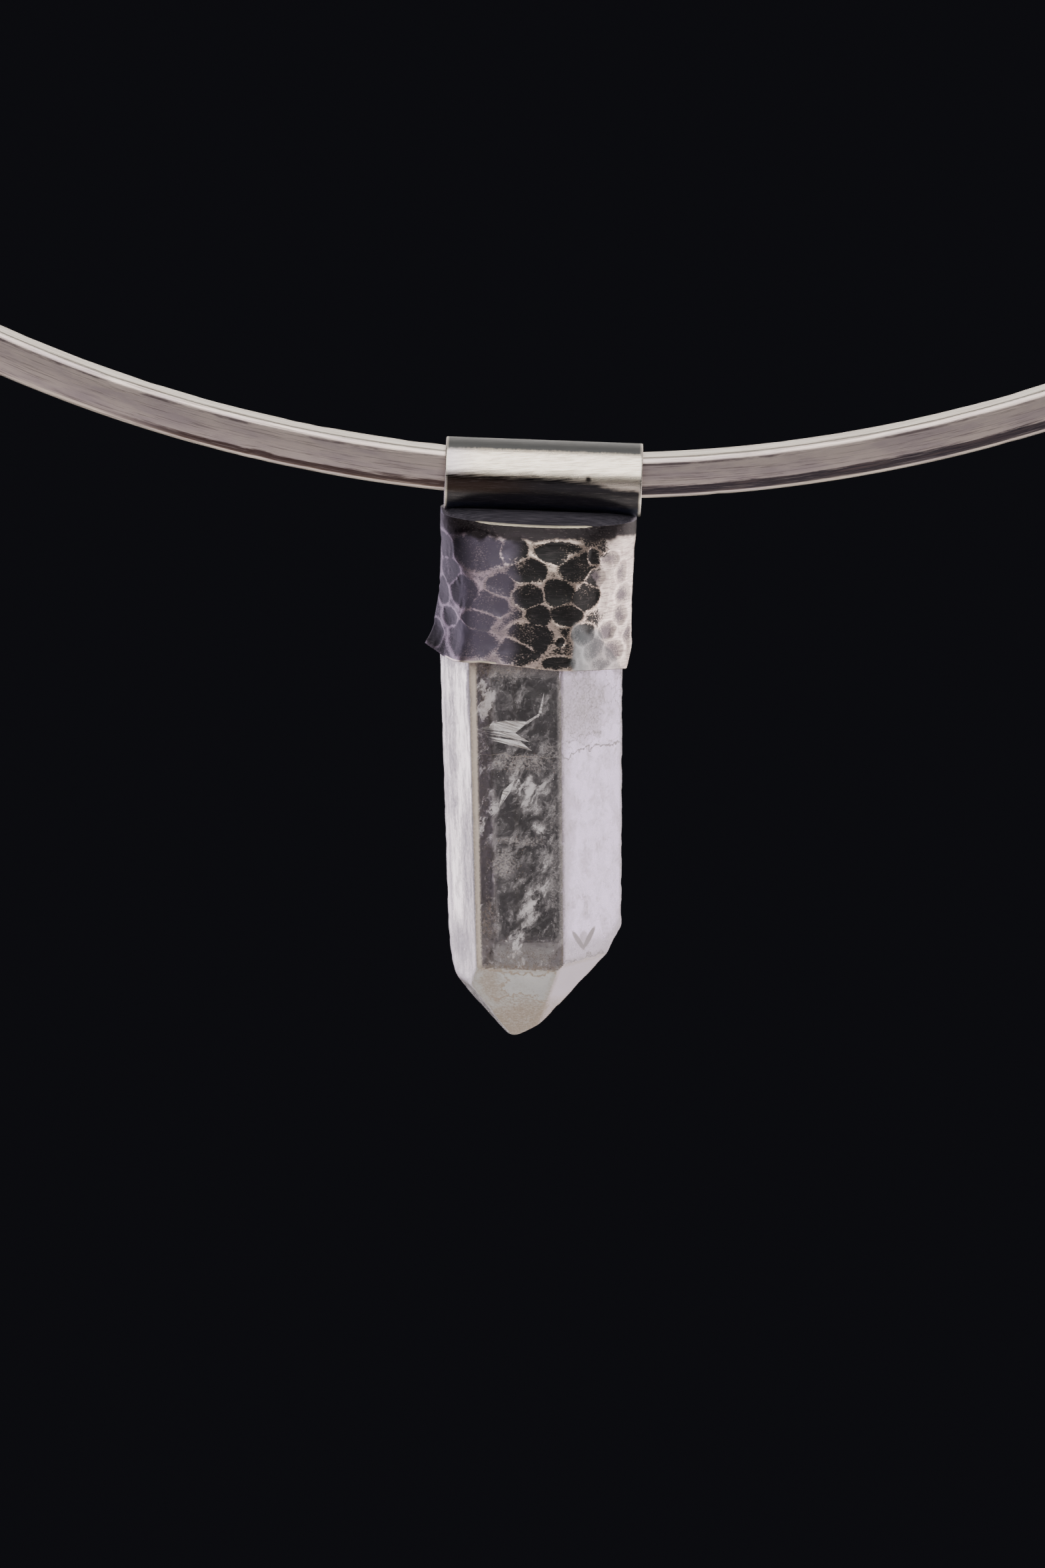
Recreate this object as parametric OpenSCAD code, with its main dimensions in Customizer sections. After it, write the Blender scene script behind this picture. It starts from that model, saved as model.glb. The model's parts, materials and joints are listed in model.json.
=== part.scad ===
// Crystal point pendant on a rigid neck ring.
// The ring stands in the XZ plane, front of the pendant towards -Y, and hangs
// from the inside of its clasp sleeve, where the back of a neck carries it.

/* [Neck ring] */
// Width of the square silver bar
bar_w = 2.5; // [2.3:0.05:2.5]
// Rounding of the bar's four long corners
bar_corner_r = 0.4; // [0.35:0.05:0.6]
// Centreline radius of the front and the back arc
front_r = 88.35; // [84:0.05:94]
// Centreline radius of the two side arcs
side_r = 48.35; // [44:0.05:54]
// Slit between the bar's two ends, hidden in the clasp sleeve
end_gap = 0.6; // [0.3:0.1:1]

/* [Clasp sleeve] */
// Length of the sleeve along the bar
sleeve_l = 12; // [8:1:20]
// Wall of the sleeve
sleeve_wall = 0.5; // [0.4:0.1:1]
// Clearance between the sleeve and the bar, on each face
sleeve_fit = 0.08; // [0.05:0.01:0.15]

/* [Bail tube] */
// Length of the tube across the cap
bail_l = 11.8; // [10:0.1:11.9]
// Bore of the tube, in which the bar lies
bail_bore = 3.8; // [3.8:0.05:4]
// Wall of the tube
bail_wall = 0.3; // [0.25:0.05:0.4]
// Height of the bar's centre over the bore's centre, at mid length
bar_lift = 0.12; // [0:0.01:0.14]

/* [Cap] */
// Silver sheet of the cap
cap_wall = 0.36; // [0.3:0.02:0.4]
// Gap between the crystal and the sheet
cap_fit = 0.08; // [0.08:0.01:0.12]
// Drop of the cap's top edge below the bail's axis
cap_top = 2.35; // [2.3:0.05:2.5]
// Rise of the top sheet from that edge to the tube
lid_rise = 0.7; // [0.5:0.05:0.8]
// Depth of the hammer marks
dent_depth = 0.12; // [0:0.01:0.14]

/* [Crystal] */
// Width of the crystal over two opposite edges, at the cap's rim
crystal_w = 11.28; // [10.8:0.02:11.4]
// Length of the crystal from the middle of the rim to the worn end of the point
crystal_l = 23.95; // [23.4:0.05:24.2]
// Length of the hidden root, up from the middle of the rim
root_l = 6.4; // [5:0.1:6.6]
// Turn of the crystal and cap about their axis, to the left
crystal_turn = 11; // [5:1:15]
// Lean of the crystal, its point to the right
crystal_lean = 2.9; // [0:0.1:3.2]
// Narrowing of each side face towards the point
crystal_taper = 0.75; // [0:0.05:1]
// Slope of the faces of the point, from the crystal's axis
point_slope = 38.2; // [36:0.1:42]

/* [Hidden] */
$fn = 96;
silver = "#b9aeab";
dark_silver = "#4a474b";
quartz = "#dcdbe0";
// Reach of the solids that only cut
far = 200;

// The ring is an oval of four arcs. They meet on lines that slope 3 across to 4
// up, so their centres stand off by 0.6 and 0.8 of the difference in radius
side_c = 0.6 * (front_r - side_r);
front_c = 0.8 * (front_r - side_r);
ring_half_d = front_r - front_c;
// The sleeve's inside face is at z = 0
bar_back_z = bar_w / 2 + sleeve_fit + sleeve_wall;
ring_z = bar_back_z - ring_half_d;
bail_z = ring_z - ring_half_d - bar_lift;

// Cap. Azimuths run from +X to +Y, so the front of the cap is at -90
rim_drop = 10.6;
cap_edges = 72;
cap_first_az = -190;
crystal_flat = crystal_w / 2 * cos(30);
rim_flat = crystal_flat + cap_fit + cap_wall;
// A power that rounds the corners of the hexagon by about 0.1 mm
corner_power = 60;
// Level sections of the cap. Down is the share of the way from the top edge to the
// rim, and hexagon the share of the crystal's form, the rest being an ellipse
cap_sections = [
    // down, middle_x, half_w, half_d, hexagon
    [0.00, -0.20, 5.90, 4.00, 0.00],
    [0.05, -0.20, 5.94, 4.35, 0.05],
    [0.11, -0.20, 5.94, 4.65, 0.12],
    [0.30, -0.20, 5.92, 4.95, 0.40],
    [0.60, -0.22, 5.90, 5.15, 0.75],
    [0.85, -0.24, 5.92, 5.20, 1.00],
    [1.00, -0.32, 6.05, 5.30, 1.00]
];
// The rim is uneven, with a corner bent out at the left and a step at the right
cap_rim = [
    // azimuth, drop, flare
    [-190, 10.65, 0.50],
    [-180, 10.75, 0.30],
    [-168, 10.95, 0.08],
    [-148, 10.85, 0.00],
    [-122, 10.50, 0.00],
    [-95, 10.60, 0.00],
    [-68, 10.70, 0.00],
    [-40, 11.00, 0.00],
    [-15, 11.20, 0.20],
    [-11, 9.70, 0.20],
    [20, 9.80, 0.10],
    [60, 10.30, 0.00],
    [110, 10.40, 0.00],
    [150, 10.50, 0.15],
    [170, 10.65, 0.50]
];
// The flare begins at this share of the way down, and curves out
flare_from = 0.8;
flare_curve = 1.5;
lid_curve = 1.2;

// Shares at which the rows of points lie: from the middle of the lid to its edge,
// down the outside, and up the inside
lid_steps = [0.12, 0.35, 0.6, 0.85];
edge_steps = [0, 0.04, 0.08];
outer_rows = 14;
outer_steps = concat(edge_steps, [for (i = [1:outer_rows]) mix(edge_steps[2], 1, i / outer_rows)]);
inner_steps = [1, 0.85, 0.6, 0.3, 0.1];

// Hammer marks on the front, seen from the front: place across, drop below the
// bail's axis, half width and half height
front_dents = [
    // x, drop, half_w, half_h
    [-5.8, 4.5, 0.8, 0.6],
    [-3.7, 4.1, 1.5, 1.0],
    [-1.6, 3.7, 0.7, 0.7],
    [1.2, 3.8, 1.4, 0.5],
    [2.4, 4.8, 1.2, 0.9],
    [3.9, 4.3, 0.6, 0.5],
    [3.5, 5.5, 0.7, 0.6],
    [-0.9, 4.9, 1.2, 0.8],
    [-5.3, 5.6, 0.9, 0.7],
    [-4.5, 6.5, 1.0, 0.8],
    [-2.3, 5.8, 0.8, 0.7],
    [-0.5, 6.5, 1.0, 0.7],
    [1.1, 6.2, 0.8, 0.8],
    [2.8, 6.6, 0.9, 0.9],
    [-2.7, 7.1, 1.0, 0.7],
    [0.3, 7.6, 0.6, 0.5],
    [1.8, 7.8, 1.0, 0.7],
    [-3.5, 8.2, 1.1, 0.6],
    [-5.3, 8.4, 0.9, 0.7],
    [-0.6, 8.8, 1.3, 0.9],
    [-3.9, 9.8, 1.5, 0.9],
    [-1.4, 9.9, 1.1, 0.7],
    [1.2, 10.4, 1.0, 0.5],
    [3.0, 8.9, 1.0, 0.8],
    [3.5, 10.1, 1.0, 0.8],
    [4.9, 5.2, 0.9, 0.7],
    [5.0, 6.8, 0.9, 0.7],
    [4.4, 8.5, 0.7, 0.7],
    [5.3, 8.4, 0.9, 0.7],
    [4.8, 9.8, 0.9, 0.8]
];
// Hammer marks round the back, in scattered rows
back_rows = 4;
back_columns = 8;
back_from_az = 12;
back_to_az = 168;
back_first_drop = 4.3;
back_row_step = 1.8;
back_half_w = 1.25;
back_half_h = 1;
row_shift = 0.4;
place_scatter = 0.5;
size_scatter = 0.3;
scatter_key = [127.1, 311.7];
scatter_gain = 43758.5;
// The cap's middle and reach where a mark's place is turned into an azimuth
mark_x = -0.2;
mark_half_w = 5.9;
mark_reach = 5.7;
// The marks fade out over this share of the height, towards the top edge
plain_top = 0.12;

// Side faces of the crystal: their azimuth from the front face, the drop below the
// rim where the point begins, and the rise above it where the hidden root begins
crystal_sides = [
    // azimuth, point, root
    [0, 18.75, 0.10],
    [60, 18.35, 0.10],
    [120, 16.90, 0.95],
    [180, 18.40, 0.70],
    [240, 19.90, 0.30],
    [300, 20.00, 0.05]
];
// Small steep faces on two shoulders of the point
shoulder_faces = [
    // azimuth, slope, distance from the axis, drop below the rim
    [88, 22, 5.38, 16.9],
    [268, 9, 5.40, 17.4],
    [272, 26, 5.10, 19.4]
];
crystal_x = -0.36;
// The root narrows upwards inside the cap
root_slope = 16;

function mix(a, b, t) = a + (b - a) * t;
function ramp(t) = max(0, min(1, t));
function column(table, key, c) = lookup(key, [for (row = table) [row[0], row[c]]]);
// A fixed number between -0.5 and 0.5 for each pair of whole numbers
function scatter(i, j) = let (s = sin([i, j] * scatter_key) * scatter_gain) s - floor(s) - 0.5;

// Reach of a hexagon and of an ellipse from their middle
function hexagon_reach(az, flat) =
    let (powers = [for (i = [0:5])
        let (c = cos(az + 90 + crystal_turn - 60 * i))
        c > 0 ? pow(c, corner_power) : 0
    ])
    flat / pow(powers * [1, 1, 1, 1, 1, 1], 1 / corner_power);
function ellipse_reach(az, half_w, half_d) =
    1 / sqrt(pow(cos(az) / half_w, 2) + pow(sin(az) / half_d, 2));

// Each hammer mark as [azimuth, drop, half_w, half_h]
front_marks = [for (d = front_dents) [asin((d[0] - mark_x) / mark_half_w) - 90, d[1], d[2], d[3]]];
back_marks = [for (i = [0:back_rows - 1], j = [0:back_columns - 1])
    let (along = j + 0.5 + row_shift * (i % 2) + place_scatter * scatter(i, j))
    [
        mix(back_from_az, back_to_az, along / back_columns),
        back_first_drop + back_row_step * i + place_scatter * scatter(j, i),
        back_half_w * (1 + size_scatter * scatter(i + back_rows, j)),
        back_half_h * (1 + size_scatter * scatter(i, j + back_columns))
    ]
];
marks = concat(front_marks, back_marks);

// Depth of the hammer marks at one place: each is a shallow bowl
function dent(az, drop) = dent_depth * max([0, for (m = marks)
    let (across = (az - m[0]) * PI / 180 * mark_reach / m[2])
    let (down = (drop - m[1]) / m[3])
    1 - across * across - down * down
]);

function rim_at(az) = column(cap_rim, az, 1);
function flare(az, s) =
    column(cap_rim, az, 2) * pow(ramp((s - flare_from) / (1 - flare_from)), flare_curve);
function cap_reach(az, s) =
    let (half_w = column(cap_sections, s, 2))
    mix(
        ellipse_reach(az, half_w, column(cap_sections, s, 3)),
        hexagon_reach(az, rim_flat * half_w / column(cap_sections, 1, 2)),
        column(cap_sections, s, 4)
    ) + flare(az, s);
function cap_point(az, s, reach) = [
    column(cap_sections, s, 1) + reach * cos(az),
    reach * sin(az),
    -mix(cap_top, rim_at(az), s)
];

// Rows of points round the cap: on its outside, inside and top sheet
cap_azimuths = [for (j = [0:cap_edges - 1]) cap_first_az + 360 * j / cap_edges];
function outer_row(s) = [for (az = cap_azimuths)
    let (depth = dent(az, mix(cap_top, rim_at(az), s)) * ramp(s / plain_top))
    cap_point(az, s, cap_reach(az, s) - depth)
];
function inner_row(s) = [for (az = cap_azimuths) cap_point(az, s, cap_reach(az, s) - cap_wall)];
function lid_row(f) = [for (az = cap_azimuths)
    let (edge = cap_point(az, 0, cap_reach(az, 0)))
    [edge[0], edge[1] * f, edge[2] + lid_rise * (1 - pow(f, lid_curve))]
];
cap_rows = concat(
    [for (f = lid_steps) lid_row(f)],
    [for (s = outer_steps) outer_row(s)],
    [for (s = inner_steps) inner_row(s)]
);

// Triangles between row i of n points and the next row
function band(i, n) = [for (j = [0:n - 1])
    let (a = i * n + j, b = i * n + (j + 1) % n)
    each [[a, b, a + n], [b, b + n, a + n]]
];
// Strips that close one row, across from its left side to its right
function closing(base, n, left, up) = [for (k = [0:n / 2 - 1])
    let (a = base + (left + k) % n, b = base + (left + k + 1) % n)
    let (c = base + (left - k - 1 + n) % n, d = base + (left - k + n) % n)
    each up ? [[a, d, c], [a, c, b]] : [[a, c, d], [a, b, c]]
];

module cap_shell() {
    n = cap_edges;
    last = len(cap_rows) - 1;
    left = round(-cap_first_az * n / 360);
    faces = concat(
        [for (i = [0:last - 1]) each band(i, n)],
        closing(0, n, left, true),
        closing(last * n, n, left, false)
    );
    polyhedron([for (row = cap_rows) each row], faces);
}

module bail_cylinder(d, l) {
    rotate([0, 90, 0]) cylinder(d = d, h = l, center = true);
}

module bar_profile(grow) {
    half = bar_w / 2 + grow;
    r = bar_corner_r + grow;
    square([2 * (half - r), 2 * half], center = true);
    square([2 * half, 2 * (half - r)], center = true);
    for (sx = [-1, 1], sy = [-1, 1])
        translate([sx * (half - r), sy * (half - r)]) circle(r);
}

// The stretch of a circle of bar, round [x, z], between two lines from its centre
module bar_arc(x, z, r, right, left) {
    intersection() {
        translate([x, 0, z])
            rotate([90, 0, 0])
                rotate_extrude()
                    translate([r, 0]) bar_profile(0);
        rotate([90, 0, 0])
            linear_extrude(height = 4 * bar_w, center = true)
                polygon([[x, z], [x, z] + far * right, [x, z] + far * left]);
    }
}

module neck_ring() {
    color(silver)
        translate([0, 0, ring_z])
            difference() {
                union() {
                    bar_arc(0, front_c, front_r, [0.6, -0.8], [-0.6, -0.8]);
                    bar_arc(side_c, 0, side_r, [0.6, 0.8], [0.6, -0.8]);
                    bar_arc(-side_c, 0, side_r, [-0.6, 0.8], [-0.6, -0.8]);
                    bar_arc(0, -front_c, front_r, [0.6, 0.8], [-0.6, 0.8]);
                }
                translate([0, 0, ring_half_d]) cube([end_gap, 2 * bar_w, 2 * bar_w], center = true);
            }
}

module clasp_sleeve() {
    sweep = sleeve_l / front_r * 180 / PI;
    color(silver)
        translate([0, 0, ring_z - front_c])
            rotate([90, 0, 0])
                rotate([0, 0, 90 - sweep / 2])
                    rotate_extrude(angle = sweep)
                        translate([front_r, 0])
                            difference() {
                                bar_profile(sleeve_fit + sleeve_wall);
                                bar_profile(sleeve_fit);
                            }
}

module cap_bail() {
    color(dark_silver)
        translate([0, 0, bail_z])
            difference() {
                union() {
                    bail_cylinder(bail_bore + 2 * bail_wall, bail_l);
                    cap_shell();
                }
                bail_cylinder(bail_bore, 2 * bail_l);
            }
}

// Everything behind one plane of the crystal, which slopes inwards going down, or
// inwards going up where the slope is negative
module behind(az, slope, reach, drop) {
    rotate([0, 0, az - 90 - crystal_turn])
        translate([reach, 0, -drop])
            rotate([0, slope, 0])
                translate([-far, -far / 2, -far / 2]) cube(far);
}

module crystal_point() {
    color(quartz)
        translate([crystal_x, 0, bail_z - rim_drop])
            rotate([0, -crystal_lean, 0])
                intersection() {
                    translate([-far / 2, -far / 2, -crystal_l]) cube([far, far, root_l + crystal_l]);
                    intersection_for(s = crystal_sides)
                        behind(s[0], crystal_taper, crystal_flat, 0);
                    intersection_for(s = crystal_sides)
                        behind(s[0], point_slope, crystal_flat - s[1] * tan(crystal_taper), s[1]);
                    intersection_for(s = crystal_sides)
                        behind(s[0], -root_slope, crystal_flat + s[2] * tan(crystal_taper), -s[2]);
                    intersection_for(f = shoulder_faces)
                        behind(f[0], f[1], f[2], f[3]);
                }
}

neck_ring();
clasp_sleeve();
cap_bail();
crystal_point();
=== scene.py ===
import json
from functools import partial
from math import atan2, copysign, cos, floor, pi, radians, sin, tan

import bmesh
import bpy
import numpy as np
from mathutils import Matrix, Vector, noise


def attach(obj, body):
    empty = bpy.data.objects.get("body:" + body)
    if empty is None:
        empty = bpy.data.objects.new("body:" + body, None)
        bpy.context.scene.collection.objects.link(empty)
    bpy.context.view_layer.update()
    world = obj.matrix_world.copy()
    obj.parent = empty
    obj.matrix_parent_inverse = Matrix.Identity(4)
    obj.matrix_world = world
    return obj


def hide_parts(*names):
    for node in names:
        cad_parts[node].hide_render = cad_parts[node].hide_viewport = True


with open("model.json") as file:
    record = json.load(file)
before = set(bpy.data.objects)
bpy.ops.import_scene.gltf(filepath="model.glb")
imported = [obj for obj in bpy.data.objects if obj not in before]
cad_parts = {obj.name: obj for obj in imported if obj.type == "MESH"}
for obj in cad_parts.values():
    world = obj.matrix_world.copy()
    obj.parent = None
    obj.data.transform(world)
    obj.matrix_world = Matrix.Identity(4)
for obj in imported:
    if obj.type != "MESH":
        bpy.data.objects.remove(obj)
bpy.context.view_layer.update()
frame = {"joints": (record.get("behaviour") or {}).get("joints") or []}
mm = 0.001
hinge = next(j for j in frame["joints"] if j["name"] == "pendant_swing")
bore = Vector(hinge["pos_m"])  # middle of the bail's bore


# small tools

def srgb(hexColour):
    shares = [int(hexColour[i:i + 2], 16) / 255 for i in (1, 3, 5)]
    linear = [c / 12.92 if c <= 0.04045 else ((c + 0.055) / 1.055) ** 2.4 for c in shares]
    return (*linear, 1.0)


nodeKinds = {
    # short name: node, its settings, what the given values fill in turn, its output
    "mix": ("ShaderNodeMix", {"data_type": "RGBA"}, (0, 6, 7), 2),
    "map": ("ShaderNodeMapRange", {}, (0, 1, 2, 3, 4), 0),
    "fade": ("ShaderNodeMapRange", {"interpolation_type": "SMOOTHSTEP"}, (0, 1, 2, 3, 4), 0),
    "noise": ("ShaderNodeTexNoise", {}, ("Vector", "Scale", "Detail", "Roughness", "Distortion"), 0),
    "stretch": ("ShaderNodeMapping", {}, ("Vector", "Scale"), 0),
    "turn": ("ShaderNodeMapping", {}, ("Vector", "Rotation"), 0),
    "object": ("ShaderNodeTexCoord", {}, (), "Object"),
    "attribute": ("ShaderNodeAttribute", {}, ("attribute_name",), "Fac"),
    "bump": ("ShaderNodeBump", {}, ("Height", "Strength", "Distance"), 0),
    "clamp": ("ShaderNodeClamp", {}, (0,), 0),
    "addVectors": ("ShaderNodeVectorMath", {"operation": "ADD"}, (0, 1), 0),
    "subtractVectors": ("ShaderNodeVectorMath", {"operation": "SUBTRACT"}, (0, 1), 0),
    "scaleVector": ("ShaderNodeVectorMath", {"operation": "SCALE"}, (0, "Scale"), 0),
    "distance": ("ShaderNodeVectorMath", {"operation": "DISTANCE"}, (0, 1), "Value"),
    "split": ("ShaderNodeSeparateXYZ", {}, ("Vector",), None),
    "fillet": ("GeometryNodeFilletCurve", {"mode": "POLY", "Limit Radius": True},
               ("Curve", "Radius", "Count"), 0),
    "sweep": ("GeometryNodeCurveToMesh", {"Fill Caps": True}, ("Curve", "Profile Curve"), 0),
}
for kindName, operation, inputCount in (
        ("add", "ADD", 2), ("subtract", "SUBTRACT", 2), ("multiply", "MULTIPLY", 2), ("maximum", "MAXIMUM", 2),
        ("multiplyAdd", "MULTIPLY_ADD", 3), ("absolute", "ABSOLUTE", 1), ("arctan", "ARCTAN2", 2)):
    nodeKinds[kindName] = ("ShaderNodeMath", {"operation": operation}, tuple(range(inputCount)), 0)


def setNode(node, values):
    # a value is a node or socket to link, a number, a hex colour or a setting of the node
    for key, value in values.items():
        if isinstance(value, (bpy.types.Node, bpy.types.NodeSocket)):
            node.id_data.links.new(getattr(value, "outputs", [value])[0], node.inputs[key])
        elif isinstance(key, int) or key in node.inputs:
            node.inputs[key].default_value = srgb(value) if isinstance(value, str) else value
        else:
            setattr(node, key, value)


def addNode(tree, kind, *given, **settings):
    name, fixed, order, output = nodeKinds.get(kind, (kind, {}, (), None))
    node = tree.nodes.new(name)
    setNode(node, {**fixed, **settings, **dict(zip(order, given))})
    return node if output is None else node.outputs[output]


def blankMaterial(name):
    # gives the material, a function that adds nodes to it, and its shader
    material = bpy.data.materials.new(name)
    material.use_nodes = True
    material.node_tree.nodes.clear()
    add = partial(addNode, material.node_tree)
    shader = add("ShaderNodeBsdfPrincipled")
    add("ShaderNodeOutputMaterial", Surface=shader)
    return material, add, shader


def placeObject(name, data):
    placed = bpy.data.objects.new(name, data)
    bpy.context.scene.collection.objects.link(placed)
    return placed


def meshPiece(name, points, faces, material, edges=()):
    mesh = bpy.data.meshes.new(name)
    mesh.from_pydata([tuple(p) for p in points], edges, faces)
    mesh.validate()
    mesh.materials.append(material)
    return placeObject(name, mesh)


def pointAttribute(piece, name, values):
    attribute = piece.data.attributes.new(name, "FLOAT", "POINT")
    attribute.data.foreach_set("value", np.asarray(values, np.float32))


def bands(rows, n, wrap=False):
    count = rows if wrap else rows - 1
    return [(i * n + j, i * n + (j + 1) % n, ((i + 1) % rows) * n + (j + 1) % n, ((i + 1) % rows) * n + j)
            for i in range(count) for j in range(n)]


def smoothShade(piece, degrees):
    piece.data.shade_smooth()
    piece.data.set_sharp_from_angle(angle=radians(degrees))


def noiseAt(x, y, z, scale, octaves):
    return noise.fractal(Vector((x, y, z)) * scale, 1.0, 2.0, octaves)


# camera at the photograph's angle: 12 degrees down, and turned 2.2 degrees

cameraSizes = {"down": 12.0, "turn": 2.157, "distance": 450 * mm, "aimAcross": -0.562 * mm,
               "aimUp": -18.48 * mm, "sensor": 36, "focal": 11250 / 2352 * 36}


def makeCamera(size):
    down, turn = radians(size["down"]), radians(size["turn"])
    across, up = Vector((1, 0, 0)), Vector((0, sin(down), cos(down)))
    ahead = Vector((0, cos(down), -sin(down)))
    data = bpy.data.cameras.new("photoCamera")
    data.sensor_width = size["sensor"]
    data.lens = size["focal"]
    data.clip_start, data.clip_end = 0.01, 20
    camera = placeObject("photoCamera", data)
    right = across * cos(turn) + up * sin(turn)
    top = up * cos(turn) - across * sin(turn)
    place = bore + across * size["aimAcross"] + up * size["aimUp"] - ahead * size["distance"]
    camera.matrix_world = Matrix((
        (right.x, top.x, -ahead.x, place.x), (right.y, top.y, -ahead.y, place.y),
        (right.z, top.z, -ahead.z, place.z), (0, 0, 0, 1)))
    bpy.context.scene.camera = camera


makeCamera(cameraSizes)
print("camera placed")

# plain soft studio light: boxes at the right, behind at the left and over the camera, and low strips
# in front and behind

studioLights = {
    # azimuth, elevation, distance, width, height, radiance, colour
    "rightBox": (22, -8, 0.5, 0.52, 0.66, 3.2, "#fff3ee"),
    "rearLeftBox": (129, -13, 0.5, 0.28, 0.34, 2.6, "#f1dffa"),
    "overheadBox": (-90, 56, 0.6, 0.7, 0.8, 3.0, "#fffaf2"),
    "lowFill": (-90, -22, 0.6, 0.6, 0.3, 0.7, "#fff4f2"),
    "leftFill": (-148, -8, 0.6, 0.5, 0.5, 0.9, "#f4e6f0"),
    "lowStrip": (-90, -56, 0.14, 0.26, 0.09, 1.15, "#fff6e6"),
    "rearStrip": (90, 29, 0.6, 0.9, 0.46, 1.7, "#fff8f0"),
}
lightTarget = bore + Vector((0, 0, -14 * mm))
floorSizes = {"radius": 120 * mm, "z": -260 * mm, "thick": 4 * mm, "edge": 1 * mm, "sides": 160}


def makeLight(name, azimuth, elevation, distance, width, height, radiance, colour):
    azimuth, elevation = radians(azimuth), radians(elevation)
    towards = Vector((cos(azimuth) * cos(elevation), sin(azimuth) * cos(elevation),
                      sin(elevation)))
    data = bpy.data.lights.new(name, "AREA")
    data.shape = "RECTANGLE"
    data.size, data.size_y = width, height
    data.energy = radiance * pi * width * height
    data.color = srgb(colour)[:3]
    light = placeObject(name, data)
    light.location = lightTarget + towards * distance
    light.rotation_euler = towards.to_track_quat("Z", "Y").to_euler()
    light.visible_camera = False


def makeWorld():
    world = bpy.data.worlds.new("darkStudio")
    world.use_nodes = True
    setNode(world.node_tree.nodes["Background"], {"Color": "#121216"})
    bpy.context.scene.world = world


def makeFloor(size):
    # matt painted board
    material, add, shader = blankMaterial("paleBoard")
    tone = add("mix", add("noise", add("object"), 60.0, 6.0, 0.6), "#dddbd7", "#d2d0cb")
    setNode(shader, {"Base Color": tone, "Roughness": 0.7})
    radius, top, edge = size["radius"], size["z"], size["edge"]
    profile = [(radius - edge, top), (radius, top - edge), (radius, top - size["thick"])]
    n = size["sides"]
    turns = [2 * pi * j / n for j in range(n)]
    points = [(r * cos(a), r * sin(a), z) for r, z in profile for a in turns]
    faces = [tuple(reversed(f)) for f in bands(len(profile), n)]
    faces += [tuple(range(n)), tuple(reversed(range((len(profile) - 1) * n, len(profile) * n)))]
    meshPiece("paleFloor", points, faces, material)


for lightName, lightSpec in studioLights.items():
    makeLight(lightName, *lightSpec)
makeWorld()
makeFloor(floorSizes)
print("studio lit")


# neck ring: square silver bar, sold as wire, bent by hand and rubbed along its length

ringSizes = {"bar": 2.5 * mm, "corner": 0.4 * mm, "cornerSteps": 4, "frontRadius": 88.35 * mm,
             "sideRadius": 48.35 * mm, "backZ": 1.83 * mm, "slit": 0.6 * mm, "step": 0.4 * mm,
             "nick": 0.09 * mm, "nickFrom": 0.25, "nickScale": 0.5, "nickEdge": 0.8,
             "wave": 0.008 * mm, "waveScale": 0.12}


# the oval's four arcs meet where the line from their centres slopes 3 across to 4 up
meetAcross, meetUp = 0.6, 0.8


def ovalPath(size):
    difference = size["frontRadius"] - size["sideRadius"]
    frontC, sideC = meetUp * difference, meetAcross * difference
    middle = size["backZ"] - size["frontRadius"] + frontC
    meet = atan2(meetUp, meetAcross)
    arcs = [(0, -frontC, size["frontRadius"], pi / 2, meet),
            (sideC, 0, size["sideRadius"], meet, -meet),
            (0, frontC, size["frontRadius"], -meet, -pi + meet),
            (-sideC, 0, size["sideRadius"], -pi + meet, -pi - meet),
            (0, -frontC, size["frontRadius"], -pi - meet, -1.5 * pi)]
    points = []
    for x, z, radius, start, end in arcs:
        steps = max(2, round(abs(end - start) * radius / size["step"]))
        for k in range(steps):
            angle = start + (end - start) * k / steps
            points.append((x + radius * cos(angle), middle + z + radius * sin(angle)))
    points.append((0.0, size["backZ"]))
    half = size["slit"] / 2
    points[0] = (half, points[0][1])
    points[-1] = (-half, points[-1][1])
    return [p for p in points if abs(p[0]) >= half or p[1] < middle]


def startTree(name, sockets):
    # gives a geometry tree with these inputs and one output, a function that adds nodes to it,
    # and what comes in
    tree = bpy.data.node_groups.new(name, "GeometryNodeTree")
    for label, kind in sockets.items():
        tree.interface.new_socket(label, in_out="INPUT", socket_type="NodeSocket" + kind)
    tree.interface.new_socket("Shape", in_out="OUTPUT", socket_type="NodeSocketGeometry")
    add = partial(addNode, tree)
    return tree, add, add("NodeGroupInput").outputs


def endTree(add, shape, material):
    real = add("GeometryNodeRealizeInstances", Geometry=shape)
    add("NodeGroupOutput", Shape=add("GeometryNodeSetMaterial", Material=material, Geometry=real))


def sweepTree(material):
    # sweeps a square bar with rounded corners along the path that comes in
    tree, add, given = startTree("barSweep", {"Path": "Geometry", "Bar Width": "Float",
                                              "Corner Radius": "Float", "Corner Steps": "Int"})
    path = add("GeometryNodeMeshToCurve", Mesh=given["Path"])
    square = add("GeometryNodeCurvePrimitiveQuadrilateral", Width=given["Bar Width"],
                 Height=given["Bar Width"])
    profile = add("fillet", square, given["Corner Radius"], given["Corner Steps"])
    endTree(add, add("sweep", path, profile), material)
    return tree


def runTree(source, tree, values, name):
    # applies a node tree to a source object, and gives a plain mesh object
    modifier = source.modifiers.new("grow", "NODES")
    modifier.node_group = tree
    for item in tree.interface.items_tree:
        if item.in_out == "INPUT" and item.name in values:
            modifier[item.identifier] = values[item.name]
    evaluated = source.evaluated_get(bpy.context.evaluated_depsgraph_get())
    mesh = bpy.data.meshes.new_from_object(evaluated)
    source.modifiers.remove(modifier)
    bpy.data.objects.remove(source)
    return placeObject(name, mesh)


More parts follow.
